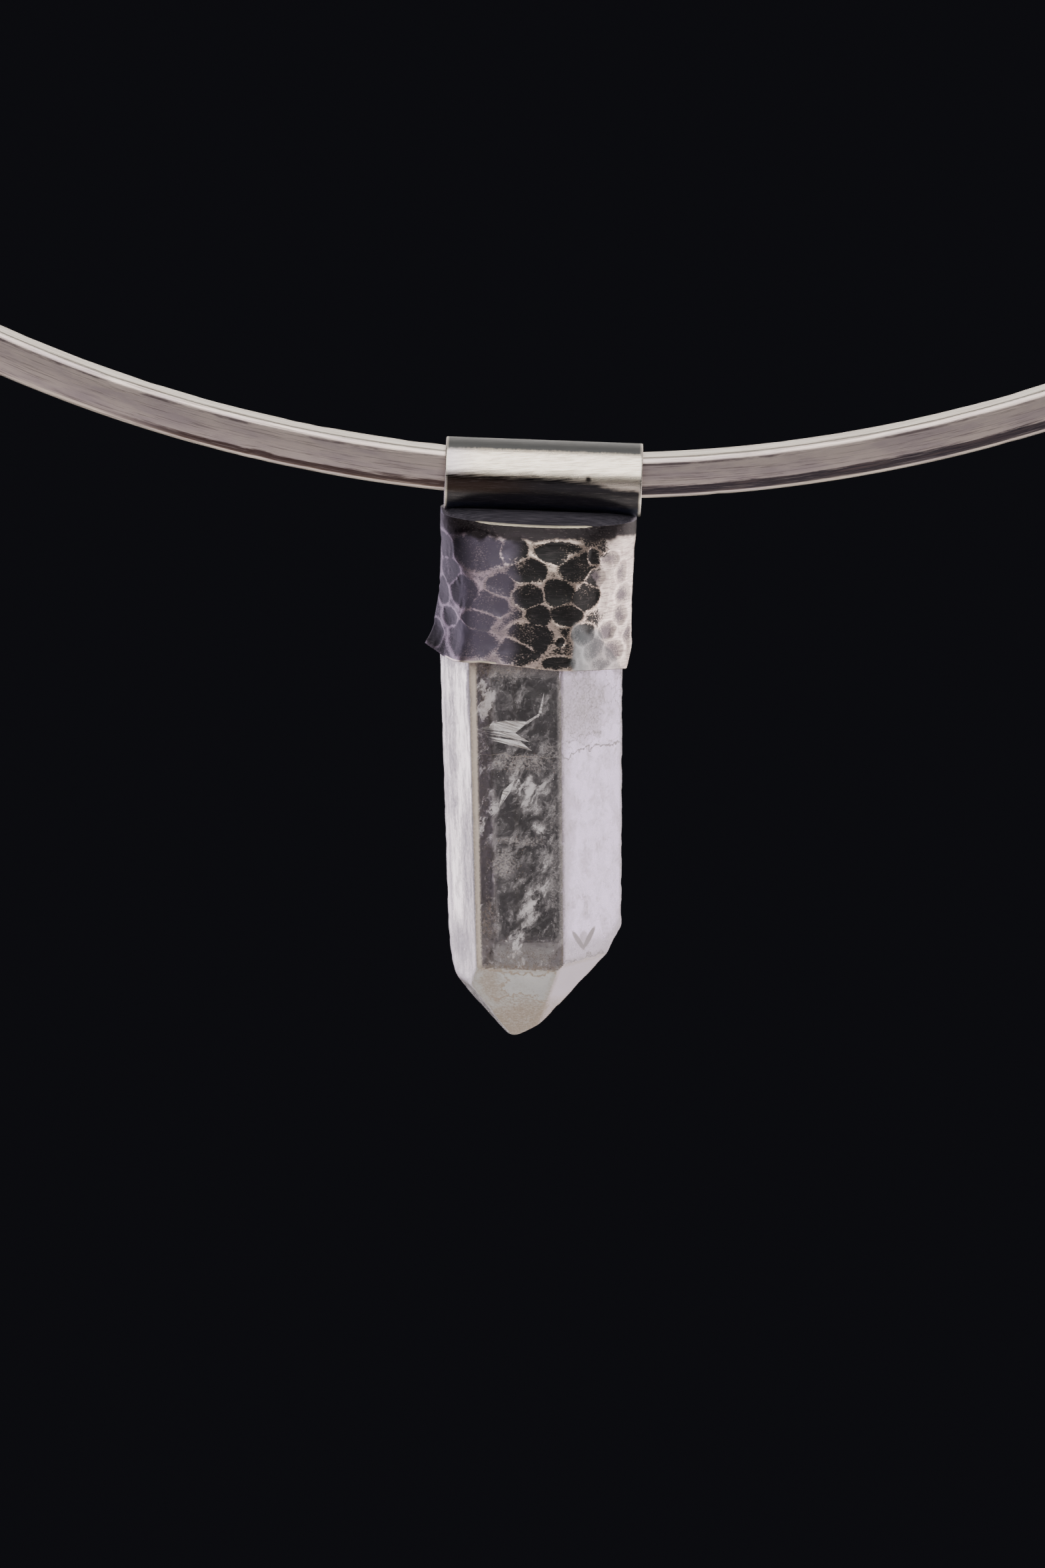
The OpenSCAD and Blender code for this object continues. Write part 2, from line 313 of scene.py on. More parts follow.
def recalculate(piece):
    work = bmesh.new()
    work.from_mesh(piece.data)
    bmesh.ops.remove_doubles(work, verts=work.verts, dist=1e-7)
    bmesh.ops.recalc_face_normals(work, faces=work.faces)
    work.to_mesh(piece.data)
    work.free()


def satinBarSilver():
    # sterling silver wire, drawn and rubbed with a cloth: satin, with lengthwise scratches and a brown bloom.
    # Painted light and shade on top: the top and other faces are painted paler than the front face, and a
    # patchy dark line is painted under the front's upper corner
    material, add, shader = blankMaterial("satinSterlingSilver")
    along = add("attribute", "along")
    outward = add("attribute", "outward")
    split = add("split", add("object"))
    across = split.outputs["X"]
    depth = add("multiply", split.outputs["Y"], 1000.0)
    spot = add("ShaderNodeCombineXYZ", X=along, Y=outward, Z=depth)
    # scratches 0.06 mm apart and about 5 mm long, clouds of tarnish some 4 mm long
    scratch = add("noise", add("stretch", spot, (0.2, 9.0, 9.0)), 1.4, 6.0, 0.65)
    cloud = add("noise", add("stretch", spot, (0.22, 1.1, 1.1)), 1.0, 5.0, 0.6)
    # the bloom gathers on the front face above its lower corner, wide at the right of the bail
    # and thin at the left
    span = add("map", across, -0.026, 0.008, 0.66, 0.38)
    fray = add("multiplyAdd", scratch, 0.5, add("multiplyAdd", cloud, 0.5, -0.5))
    level = add("subtract", add("add", outward, fray), span)
    inBand = add("multiply", add("fade", level, 0.0, 0.14), add("fade", outward, 1.06, 0.98))
    front = add("fade", depth, -1.0, -1.2)
    bloom = add("multiply", add("multiply", inBand, front), add("fade", across, -0.028, -0.021))
    # a patchy dark line painted just under the front face's upper corner: painted shade standing in for the
    # dark reflection beside the corner highlight
    inLine = add("multiply", add("fade", outward, -0.7, -0.78), add("fade", outward, -0.92, -0.86))
    upperShadeLine = add("multiply", inLine, add("multiply", add("fade", cloud, 0.42, 0.56), front))
    streak = add("fade", scratch, 0.52, 0.64)
    # painted light and shade: the top, back and bottom faces get a paler, creamier tone, the front face a
    # darker, pinker one
    litSideTone = add("mix", add("fade", scratch, 0.4, 0.62), "#fbf6ee", "#c9beb4")
    shadedFrontTone = add("mix", add("fade", cloud, 0.4, 0.62), "#e0d2ce", "#c8babe")
    bloomTone = add("mix", add("fade", across, -0.002, 0.008), "#4a3835", "#37333f")
    bloomTone = add("mix", add("fade", scratch, 0.5, 0.7), bloomTone, "#8a7b7d")
    bloomShare = add("multiply", bloom, add("fade", scratch, 0.3, 0.5, 0.6, 0.95))
    # marks: the front's scratch streaks (real) and the painted shade line under the upper corner
    marks = add("maximum", add("multiply", streak, add("multiply", front, 0.5)),
                add("multiply", upperShadeLine, 0.7))
    bloomed = add("mix", bloomShare, add("mix", front, litSideTone, shadedFrontTone), bloomTone)
    marked = add("mix", marks, bloomed, "#4e4247")
    setNode(shader, {"Base Color": marked, "Roughness": add("map", scratch, 0.0, 1.0, 0.28, 0.46),
                     "Metallic": 1.0, "Normal": add("bump", scratch, 0.35, 0.03 * mm)})
    return material


def makeRing(size, material):
    path = ovalPath(size)
    source = meshPiece("ringPath", [(x, 0, z) for x, z in path], [], material,
                       [(i, i + 1) for i in range(len(path) - 1)])
    ring = runTree(source, sweepTree(material), {"Bar Width": size["bar"], "Corner Radius": size["corner"],
                                                 "Corner Steps": size["cornerSteps"]}, "neckRing")
    recalculate(ring)
    line = np.array(path)
    travel = np.concatenate([[0], np.cumsum(np.linalg.norm(np.diff(line, axis=0), axis=1))])
    points = np.array([v.co for v in ring.data.vertices])
    middle = np.array([0, (line[:, 1].max() + line[:, 1].min()) / 2])
    nearest = np.array([np.argmin(((line - p[[0, 2]]) ** 2).sum(1)) for p in points])
    away = line[nearest] - middle
    # outward direction: from the centre of the arc that the point lies on
    difference = size["frontRadius"] - size["sideRadius"]
    sideC, frontC = meetAcross * difference, meetUp * difference
    onSide = np.abs(away[:, 1:]) < (np.abs(away[:, :1]) - sideC) * meetUp / meetAcross
    centres = np.where(onSide, np.stack([np.sign(away[:, 0]) * sideC, 0 * away[:, 0]], 1),
                       np.stack([0 * away[:, 0], -np.sign(away[:, 1]) * frontC], 1))
    radial = away - centres
    radial /= np.linalg.norm(radial, axis=1)[:, None]
    outward = ((points[:, [0, 2]] - line[nearest]) * radial).sum(1)
    # small nicks on the corners, and a slight wave of the hand-bent bar
    for i, vertex in enumerate(ring.data.vertices):
        x, y, z = points[i] / mm
        nearCorner = min(abs(y), abs(outward[i] / mm)) > size["nickEdge"]
        rough = max(0.0, noiseAt(x, y, z, size["nickScale"], 2) - size["nickFrom"])
        chip = rough * size["nick"] if nearCorner else 0.0
        sway = noiseAt(x, y, z, size["waveScale"], 2) * size["wave"]
        direction = Vector((radial[i][0] * outward[i], y * mm, radial[i][1] * outward[i])).normalized()
        vertex.co -= direction * (chip + abs(sway))
    pointAttribute(ring, "along", travel[nearest] / mm)
    pointAttribute(ring, "outward", outward / mm)
    smoothShade(ring, 50)
    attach(ring, "ring")
    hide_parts("neck_ring")


barSilver = satinBarSilver()
makeRing(ringSizes, barSilver)
print("neck ring swept")


# clasp sleeve: a short drawn tube over the ends of the bar, plain, as it is out of the picture

sleeveSizes = {"length": 12 * mm, "fit": 0.08 * mm, "wall": 0.5 * mm, "edge": 0.12 * mm,
               "inside": 0.01 * mm, "steps": 40, "arcSteps": 6, "grainFrom": 60}


def roundedSquare(half, corner, steps):
    points = []
    for quarter in range(4):
        middle = radians(45 + 90 * quarter)
        cx, cy = copysign(half - corner, cos(middle)), copysign(half - corner, sin(middle))
        for k in range(steps + 1):
            angle = radians(90 * quarter + 90 * k / steps)
            points.append((cx + corner * cos(angle), cy + corner * sin(angle)))
    return points


def makeSleeve(size, ring, material):
    inner = ring["bar"] / 2 + size["fit"]
    outer = inner + size["wall"] - size["inside"]
    radius, centre = ring["frontRadius"], ring["backZ"] - ring["frontRadius"]
    sweep = size["length"] / radius
    edge = size["edge"]
    stations = [(outer - edge, 0.0), (outer, edge)]
    stations += [(outer, size["length"] * k / size["steps"]) for k in range(1, size["steps"])]
    stations += [(outer, size["length"] - edge), (outer - edge, size["length"])]
    stations += [(inner, size["length"]), (inner, 0.0)]
    points = []
    for half, travel in stations:
        turn = pi / 2 + sweep / 2 - travel / radius
        corner = ring["corner"] + half - ring["bar"] / 2
        for across, lift in roundedSquare(half, corner, size["arcSteps"]):
            r = radius + lift
            points.append((r * cos(turn), across, centre + r * sin(turn)))
    n = 4 * (size["arcSteps"] + 1)
    sleeve = meshPiece("claspSleeve", points, bands(len(stations), n, wrap=True), material)
    recalculate(sleeve)
    places = np.array([v.co for v in sleeve.data.vertices]) / mm
    pointAttribute(sleeve, "along", places[:, 0] + size["grainFrom"])
    pointAttribute(sleeve, "outward", np.hypot(places[:, 0], places[:, 2] - centre / mm) - radius / mm)
    smoothShade(sleeve, 40)
    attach(sleeve, "ring")
    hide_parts("clasp_sleeve")


makeSleeve(sleeveSizes, ringSizes, barSilver)
print("sleeve fitted")


# cap: silver sheet, hammered over the crystal, darkened with liver of sulphur and rubbed on the ridges

capSizes = {"wall": 0.36, "fit": 0.08, "top": 2.35, "lidRise": 0.7, "lidCurve": 1.2, "dent": 0.13, "turn": 11,
            "crystalWidth": 11.28, "cornerPower": 60, "bulge": 1.045, "bulgePower": 12, "bulgeWidth": 22,
            "flareFrom": 0.55, "flareCurve": 1.6, "plainTop": 0.12,
            "around": 420, "down": 130, "firstAzimuth": -190, "tubeMiddle": 2.02, "ripple": 0.035,
            "seam": 0.3, "ridge": 0.38, "grow": 1.14, "bareFrom": -48, "bareTo": -34, "panelFrom": -67,
            "deep": 5.62, "deepEase": 0.2, "open": 0.6, "openRub": 0.62, "panelFlat": 0.6,
            "meanRadius": 5.7, "frontCorners": (-131, -71), "rimRound": 0.08,
            "lidShares": (0.06, 0.2, 0.4, 0.6, 0.8, 0.92, 0.96, 0.985), "edgeShares": (0, 0.012, 0.025),
            "wallFrom": 0.04, "innerShares": (1.0, 0.93, 0.85, 0.7, 0.5, 0.3, 0.1),
            "frontMiddle": -93, "frontHalf": 58, "frontEase": 22, "lipFrom": 0.93, "lipEase": 0.04,
            "lipDown": 0.014, "bendScale": 0.9, "bendAcross": 2.5, "bendDown": 0.12, "seamReach": 0.1,
            "rimFrom": 0.975, "rimEase": 0.02, "rimMiddle": -140, "rimHalf": 24,
            "lineFrom": 0.984, "lineEase": 0.008, "lineMiddle": -138, "lineHalf": 30, "lineFade": 8}
capSections = np.array([
    # down, middle, half width, half depth, share of hexagon
    (0.00, -0.20, 5.90, 4.00, 0.00), (0.05, -0.20, 5.94, 4.35, 0.05), (0.11, -0.20, 5.94, 4.65, 0.12),
    (0.30, -0.20, 5.92, 4.95, 0.40), (0.60, -0.22, 5.90, 5.15, 0.75), (0.85, -0.24, 5.92, 5.20, 1.00),
    (1.00, -0.32, 6.05, 5.30, 1.00)])
capRim = np.array([
    # azimuth, drop, flare
    (-190, 10.65, 0.50), (-180, 10.75, 0.30), (-168, 10.95, 0.08), (-148, 10.85, 0.0), (-122, 10.5, 0.0),
    (-95, 10.6, 0.0), (-68, 10.7, 0.0), (-40, 11.0, 0.0), (-15, 11.2, 0.04), (-11, 9.7, 0.04), (20, 9.8, 0.04),
    (60, 10.3, 0.0), (110, 10.4, 0.0), (150, 10.5, 0.15), (170, 10.65, 0.5)])
frontDents = [
    # azimuth, drop, half width, half height
    (-133, 4.0, 2.1, 1.05), (-106, 3.8, 1.05, 0.8), (-74, 3.75, 1.6, 0.66), (-61, 4.6, 1.5, 0.9),
    (-50, 4.2, 0.65, 0.55), (-170, 4.2, 1.5, 0.8), (-162, 5.6, 1.7, 0.85), (-97, 4.9, 1.42, 0.72),
    (-48, 5.4, 0.95, 0.58), (-143, 6.5, 1.65, 0.95), (-113, 5.9, 0.95, 0.8), (-120, 7.0, 1.25, 0.8),
    (-94, 6.4, 1.05, 0.75), (-76, 6.1, 0.95, 0.78), (-56, 6.4, 1.2, 0.9), (-88, 7.5, 0.82, 0.62),
    (-69, 7.4, 1.1, 0.64), (-161, 8.5, 1.5, 0.65), (-127, 8.0, 1.25, 0.66), (-139, 9.4, 2.5, 1.05),
    (-92, 8.8, 1.36, 0.92), (-74, 9.0, 0.3, 0.3), (-100, 9.75, 1.25, 0.88), (-74, 10.3, 1.05, 0.4),
    (-178, 7.1, 1.3, 0.8), (-24, 5.2, 0.66, 0.74), (-21, 6.6, 0.78, 0.68), (-23, 7.8, 0.7, 0.6),
    (-34, 8.7, 0.75, 0.65), (-46, 9.7, 1.05, 0.78), (-28, 10.0, 0.96, 0.73), (-56, 8.7, 0.95, 0.65),
    (-38, 10.7, 1.1, 0.42), (-14, 9.1, 0.4, 0.74), (-184, 9.8, 0.9, 0.7), (-36, 4.3, 0.7, 0.5)]
panelLine = np.array([
    # azimuth, drop of the rubbed panel's upper edge
    (-70, 7.75), (-46, 8.1), (-30, 9.4), (-15, 11.2), (0, 12)])


def backDents():
    # the same scattered rows as on the solid
    def scatter(i, j):
        s = sin(radians(i * 127.1 + j * 311.7)) * 43758.5
        return s - floor(s) - 0.5
    rows, columns = 4, 8
    return [(12 + 156 * (j + 0.5 + 0.4 * (i % 2) + 0.5 * scatter(i, j)) / columns,
             4.3 + 1.8 * i + 0.5 * scatter(j, i), 1.4 * (1 + 0.3 * scatter(i + rows, j)),
             1.1 + 0.3 * scatter(i, j + columns)) for i in range(rows) for j in range(columns)]


def ramp(t):
    return np.clip(t, 0, 1)


def smooth(t):
    t = ramp(t)
    return t * t * (3 - 2 * t)


def hexReach(azimuth, flat, size, power):
    turned = azimuth + 90 + size["turn"]
    total = sum(np.maximum(np.cos(np.radians(turned - 60 * i)), 0) ** power for i in range(6))
    return flat / total ** (1 / power)


def capReach(azimuth, share, size):
    halfWidth, halfDepth, hexShare = (
        np.interp(share, capSections[:, 0], capSections[:, c]) for c in (2, 3, 4))
    a = np.radians(azimuth)
    ellipse = 1 / np.sqrt((np.cos(a) / halfWidth) ** 2 + (np.sin(a) / halfDepth) ** 2)
    flat = size["crystalWidth"] / 2 * cos(radians(30)) + size["fit"] + size["wall"]
    flat *= halfWidth / capSections[-1, 2]
    hexagon = hexReach(azimuth, flat, size, size["cornerPower"])
    # the sheet bulges beside the two front corners, so they look round
    corner = np.minimum(*(np.abs(azimuth - c) for c in size["frontCorners"]))
    bulge = hexReach(azimuth, flat * size["bulge"], size, size["bulgePower"]) - hexagon
    hexagon = hexagon + bulge * np.exp(-(corner / size["bulgeWidth"]) ** 2)
    flare = np.interp(azimuth, capRim[:, 0], capRim[:, 2]) * ramp(
        (share - size["flareFrom"]) / (1 - size["flareFrom"])) ** size["flareCurve"]
    return ellipse + (hexagon - ellipse) * hexShare + flare


def hammerMarks(azimuth, drop, marks):
    # height above the deepest bowl's edge at each place, and above the next one's: negative outside them
    farOut = -9.0
    first, second = np.full_like(azimuth, farOut), np.full_like(azimuth, farOut)
    for a, d, halfWidth, halfHeight in marks:
        across = np.radians(azimuth - a) * capSizes["meanRadius"] / (halfWidth * capSizes["grow"])
        down = (drop - d) / (halfHeight * capSizes["grow"])
        depth = 1 - across ** 2 - down ** 2
        second = np.maximum(second, np.minimum(first, depth))
        first = np.maximum(first, depth)
    return first, second


def closeRow(base, n, left, up):
    faces = []
    for k in range(n // 2):
        a, b = base + (left + k) % n, base + (left + k + 1) % n
        c, d = base + (left - k - 1) % n, base + (left - k) % n
        face = (a, d, c, b) if up else (a, b, c, d)
        faces.append(tuple(dict.fromkeys(face)))
    return [f for f in faces if len(f) > 2]


def makeCap(size, material):
    n, radius = size["around"], size["meanRadius"]
    azimuth = size["firstAzimuth"] + 360 * np.arange(n) / n
    turns = np.radians(azimuth)
    rimDrop = np.interp(azimuth, capRim[:, 0], capRim[:, 1])
    marks = frontDents + backDents()
    rows = []
    looks = {name: [] for name in ("rub", "dented", "bare", "panel", "filed", "plate", "lip")}

    def addRow(share, reach, z, squeeze=1.0, **look):
        middle = np.interp(share, capSections[:, 0], capSections[:, 1])
        y, z = reach * np.sin(turns) * squeeze, z + 0 * turns
        over = np.maximum(np.abs(y) - size["deep"], 0)  # the corners stay inside the solid's box
        y -= np.sign(y) * over * (1 - size["deepEase"])
        near = np.hypot(y, z) < size["tubeMiddle"]  # the lid ends inside the bail tube's wall
        z = np.where(near, -np.sqrt(np.maximum(size["tubeMiddle"] ** 2 - y ** 2, 0)), z)
        rows.append(np.stack([middle + reach * np.cos(turns), y, z], 1))
        for name, values in looks.items():
            values.append(look.get(name, 0.0) + 0 * turns)

    top, edge = size["top"], capReach(azimuth, 0.0, size)
    # front, linePart and the lip look mark where a cream line is painted: a painted highlight along the lid's
    # front edge, the top of the front wall and a stretch of the lower rim
    front = smooth((size["frontHalf"] - np.abs(azimuth - size["frontMiddle"])) / size["frontEase"])
    rimPart = np.abs(azimuth - size["rimMiddle"]) < size["rimHalf"]
    linePart = smooth((size["lineHalf"] - np.abs(azimuth - size["lineMiddle"])) / size["lineFade"])
    for f in size["lidShares"]:
        addRow(0.0, edge, -top + size["lidRise"] * (1 - f ** size["lidCurve"]), f,
               plate=1.0, lip=smooth((f - size["lipFrom"]) / size["lipEase"]) * front)
    for share in np.concatenate([size["edgeShares"], np.linspace(size["wallFrom"], 1, size["down"])]):
        drop = top + (rimDrop - top) * share
        bend = np.array([noiseAt(cos(t) * radius, sin(t) * radius, s, size["bendScale"], 3)
                         for t, s in zip(turns, drop)])
        first, second = hammerMarks(azimuth + bend * size["bendAcross"], drop + bend * size["bendDown"], marks)
        seam = ramp(1 - (first - second) / size["seam"]) * (second > -size["seamReach"]) * ramp(0.8 + bend)
        ridge = ramp(1 - first / size["ridge"]) * (1 - size["openRub"] * ramp(-first / size["open"]))
        first = ramp(first) * ramp(share / size["plainTop"])
        rim = ramp((share - size["rimFrom"]) / size["rimEase"]) * ramp(0.45 + bend * 1.5 + rimPart)
        # each window opens over a few degrees or tenths of a millimetre, with an uneven edge
        bare = smooth((azimuth + 9 * bend - size["bareFrom"]) / (size["bareTo"] - size["bareFrom"]))
        bare = bare * smooth((12 - azimuth) / 20)
        panelTop = np.interp(azimuth, panelLine[:, 0], panelLine[:, 1])
        panel = smooth((drop + 0.5 * bend - panelTop) / 0.8)
        panel = panel * smooth((azimuth + 2 * bend - size["panelFrom"]) / 2.2) * smooth((0 - azimuth) / 10)
        filed = 1 - smooth((drop - 3.0 - 0.25 * bend) / 0.35)
        rimLine = smooth((share - size["lineFrom"]) / size["lineEase"]) * linePart
        reach = capReach(azimuth, share, size) - size["ripple"] * np.abs(bend)
        reach -= size["dent"] * first * (1 - size["panelFlat"] * panel)
        addRow(share, reach, -drop, rub=np.maximum(np.maximum(seam, ridge), rim), dented=first,
               bare=bare * (1 - panel), panel=panel, filed=filed,
               lip=np.maximum((1 - smooth(share / size["lipDown"])) * front, rimLine))
    outerReach = capReach(azimuth, 1.0, size)
    addRow(1.0, outerReach - size["rimRound"], -rimDrop - 0.05, rub=1.0, bare=bare)
    addRow(1.0, outerReach - size["wall"] + size["rimRound"], -rimDrop - 0.04, rub=0.6, bare=bare)
    for share in size["innerShares"]:
        addRow(share, capReach(azimuth, share, size) - size["wall"], -(top + (rimDrop - top) * share))
    left = round(-size["firstAzimuth"] * n / 360)
    faces = bands(len(rows), n) + closeRow(0, n, left, True) + closeRow((len(rows) - 1) * n, n, left, False)
    points = np.concatenate(rows) * mm + np.array(bore)
    cap = meshPiece("hammeredCap", points, faces, material)
    for name, values in looks.items():
        pointAttribute(cap, name, np.concatenate(values))
    recalculate(cap)
    smoothShade(cap, 60)
    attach(cap, "pendant")
    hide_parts("cap_bail")


def pendantPlace(add):
    # Object coordinates in mm from the middle of the bore
    return add("ShaderNodeMapping", Location=tuple(-c * 1000 for c in bore), Scale=(1000,) * 3,
               Vector=add("object"))


def hammeredSilver():
    # silver darkened to grey-violet in the hammer marks, its ridges rubbed back to pinkish white metal;
    # painted light over it: a lighter lilac tone on the left, a darker far left, a panel painted lighter at
    # the far right and a cream highlight line along the lid's front edge
    material, add, shader = blankMaterial("oxidisedHammeredSilver")
    place = pendantPlace(add)
    across = add("split", place).outputs["X"]
    rub, dented, bare, panel, filed, plate, lip = (
        add("attribute", name) for name in ("rub", "dented", "bare", "panel", "filed", "plate", "lip"))
    # rubbed specks, under 0.1 mm
    speck = add("noise", add("stretch", place, (0.8, 1, 1.2)), 10.0, 4.0, 0.75)
    patch = add("noise", place, 0.6, 3.0, 0.6)
    # file marks, 2 mm long and 0.07 mm apart
    filing = add("noise", add("stretch", place, (0.45, 9, 9)), 1.5, 5.0, 0.7)
    brushed = add("noise", add("stretch", place, (0.6, 0.6, 6)), 2.2, 4.0, 0.6)
    speckled = add("multiplyAdd", speck, 2.8, -1.4)
    uneven = add("multiplyAdd", patch, 1.5, -0.75)
    rough = add("add", speckled, uneven)
    # painted light: the oxide is painted lighter and lilac towards the left, standing in for the lilac light
    # reflected there; the oxide and ridges are painted darker at the far left, a painted shade
    leftness = add("fade", add("multiplyAdd", patch, 1.2, across), -0.2, -1.5)
    farLeft = add("fade", across, -3.9, -5.1)
    rubbed = add("fade", add("add", add("multiply", rub, 0.88), rough), 0.3, 0.78)
    softRub = add("fade", add("add", add("multiply", rub, 0.9), rough), 0.15, 0.95)
    worn = add("mix", leftness, rubbed, softRub)
    oxideWithPaintedLight = add("mix", farLeft, add("mix", leftness, "#29292b", "#655f70"), "#27262f")
    wornOxideWithPaintedLight = add("mix", add("multiply", add("fade", brushed, 0.5, 0.75), 0.35), oxideWithPaintedLight, "#6d6569")
    ridgeTone = add("mix", farLeft, add("mix", leftness, "#e2cfc5", "#dccad2"), "#766b73")
    bareDent = add("fade", add("add", dented, add("multiply", rough, 0.8)), 0.3, 1.0)
    bareMetal = add("mix", add("fade", brushed, 0.4, 0.66), "#f8ebe5", "#c4b2b2")
    bareTone = add("mix", bareDent, bareMetal, "#80777f")
    flecks = add("fade", add("add", speck, add("multiply", patch, 0.3)), 0.5, 0.34)
    # the rubbed panel is painted lighter towards the far right: a painted reflection of the box at the right
    farRight = add("fade", across, 2.6, 4.4)
    panelTone = add("mix", add("fade", add("add", dented, rough), 0.0, 0.9),
                    add("mix", farRight, "#8d9094", "#b9b3b6"), add("mix", farRight, "#565b60", "#7d7b81"))
    tone = add("mix", worn, wornOxideWithPaintedLight, ridgeTone)
    # the last overlay, the lip's cream, is a painted highlight
    for share, over in (
            (add("fade", add("add", bare, add("multiply", rough, 0.7)), 0.35, 0.75),
             add("mix", flecks, bareTone, "#75696c")),
            (panel, panelTone), (filed, add("mix", add("fade", filing, 0.58, 0.72), "#2b272b", "#7d7274")),
            (plate, add("mix", add("fade", filing, 0.4, 0.7), "#45434f", "#7f7b88")),
            (add("fade", add("add", lip, add("multiply", filing, 0.5)), 0.65, 0.95), "#f4ecd9")):
        tone = add("mix", share, tone, over)
    setNode(shader, {"Base Color": tone, "Roughness": add("fade", rubbed, 0, 1, 0.52, 0.36),
                     "Metallic": add("fade", rubbed, 0, 1, 0.7, 0.95),
                     "Normal": add("bump", speck, 0.35, 0.02 * mm)})
    return material


makeCap(capSizes, hammeredSilver())
print("cap hammered")


# bail: a smooth tube soldered across the cap, brushed along its length

bailSizes = {"length": 11.8, "bore": 3.8, "wall": 0.3, "lip": 0.07, "lipSlope": 0.3, "around": 192,
             "inset": 0.2, "stations": 60, "boreInset": 0.5, "boreStations": 8, "uneven": 0.02,
             "unevenScale": 0.5}


def makeBail(size, material):
    outer, inner, half = size["bore"] / 2 + size["wall"], size["bore"] / 2, size["length"] / 2
    lip, slope = size["lip"], size["lip"] * size["lipSlope"]
    stations = [(-half, inner + lip), (-half, outer - lip), (-half + slope, outer - slope),
                (-half + lip, outer)]
    tubeEnd = half - size["inset"]
    stations += [(x, outer) for x in np.linspace(-tubeEnd, tubeEnd, size["stations"])]
    stations += [(half - lip, outer), (half - slope, outer - slope), (half, outer - lip),
                 (half, inner + lip), (half - lip, inner)]
    boreEnd = half - size["boreInset"]
    stations += [(x, inner) for x in np.linspace(boreEnd, -boreEnd, size["boreStations"])]
    stations += [(-half + lip, inner)]
    n = size["around"]
    points, rims = [], []
    for x, radius in stations:
        for k in range(n):
            a = 2 * pi * k / n
            y, z = cos(a), sin(a)
            wave = abs(noiseAt(x, y * 2, z * 2, size["unevenScale"], 2))
            uneven = size["uneven"] * wave if radius > inner + lip else 0
            points.append((x * mm, (radius - uneven) * y * mm, (radius - uneven) * z * mm))
            rims.append(1.0 if abs(x) > half - lip * 1.2 else 0.0)
    points = np.array(points) + np.array(bore)
    bail = meshPiece("bailTube", points, bands(len(stations), n, wrap=True), material)
    pointAttribute(bail, "rim", rims)
    recalculate(bail)
    smoothShade(bail, 50)
    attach(bail, "pendant")


def brushedSilver():
    # silver tube, brushed along its length, with dark bloom left where it meets the cap. Its top band is
    # painted dull grey, a painted shade, and its underside bluish, a painted reflection of the plate
    material, add, shader = blankMaterial("brushedTubeSilver")
    place = pendantPlace(add)
    across, depth, up = add("split", place).outputs
    angle = add("arctan", up, add("multiply", depth, -1.0))
    # brush lines run a few degrees off the axis, 0.06 mm apart
    slanted = add("turn", place, (0, radians(6), 0))
    brush = add("noise", add("stretch", slanted, (0.3, 9, 9)), 1.7, 6.0, 0.7)
    fine = add("noise", add("stretch", place, (0.5, 14, 14)), 2.0, 3.0, 0.6)
    wander = add("noise", add("stretch", place, (0.6, 1, 1)), 0.5, 5.0, 0.65)
    spikes = add("noise", add("stretch", place, (6, 0.6, 0.6)), 1.0, 3.0, 0.6)
    # the dark bloom's edge drops towards the right end
    drop = add("multiplyAdd", add("fade", across, 0.5, 6.0), 0.27, angle)
    frayed = add("multiplyAdd", brush, 0.34, add("multiplyAdd", wander, 0.3, drop))
    low = add("fade", frayed, 0.53, 0.36)
    # the band near the top is painted dull grey: painted shade where the tube faces up and back; it is also
    # rougher
    high = add("fade", add("multiplyAdd", spikes, 0.12, add("multiplyAdd", wander, 0.15, angle)), 1.03, 1.13)
    browned = add("multiply", add("fade", across, 1.0, -3.5), add("fade", angle, -0.45, -0.2))
    # the underside, facing the cap's plate, is painted bluish: a painted reflection of the plate
    undersideReflection = add("fade", angle, -0.62, -0.9)
    dark = add("mix", browned, "#39383c", "#3f3532")
    darkTone = add("mix", undersideReflection, dark, "#3a4154")
    streaked = add("mix", add("multiply", add("fade", fine, 0.54, 0.76), 0.5), darkTone, "#757173")
    metalTone = add("mix", add("fade", brush, 0.38, 0.74), "#fff5e8", "#beb2a5")
    violet = add("mix", add("multiply", add("fade", across, -3.5, -5.8), 0.5), metalTone, "#b9b4cf")
    metalWithShadedTop = add("mix", high, violet, "#727476")
    # a small dark pit in the bright band
    pit = add("distance", place, (2.68, -2.18, 0.3))
    pitted = add("mix", add("fade", add("multiplyAdd", wander, 0.3, pit), 0.42, 0.22), metalWithShadedTop, "#4a4544")
    bloomed = add("mix", low, pitted, streaked)
    tone = add("mix", add("attribute", "rim"), bloomed, "#d8d2cb")
    duller = add("multiplyAdd", high, 0.22, add("fade", brush, 0.3, 0.7, 0.22, 0.36))
    setNode(shader, {"Base Color": tone, "Roughness": duller, "Metallic": 1.0,
                     "Normal": add("bump", brush, 0.3, 0.02 * mm)})
    return material


makeBail(bailSizes, brushedSilver())
print("bail soldered")


# crystal: natural rock quartz, six growth faces and a worn point. Its own axes put the front face at -Y

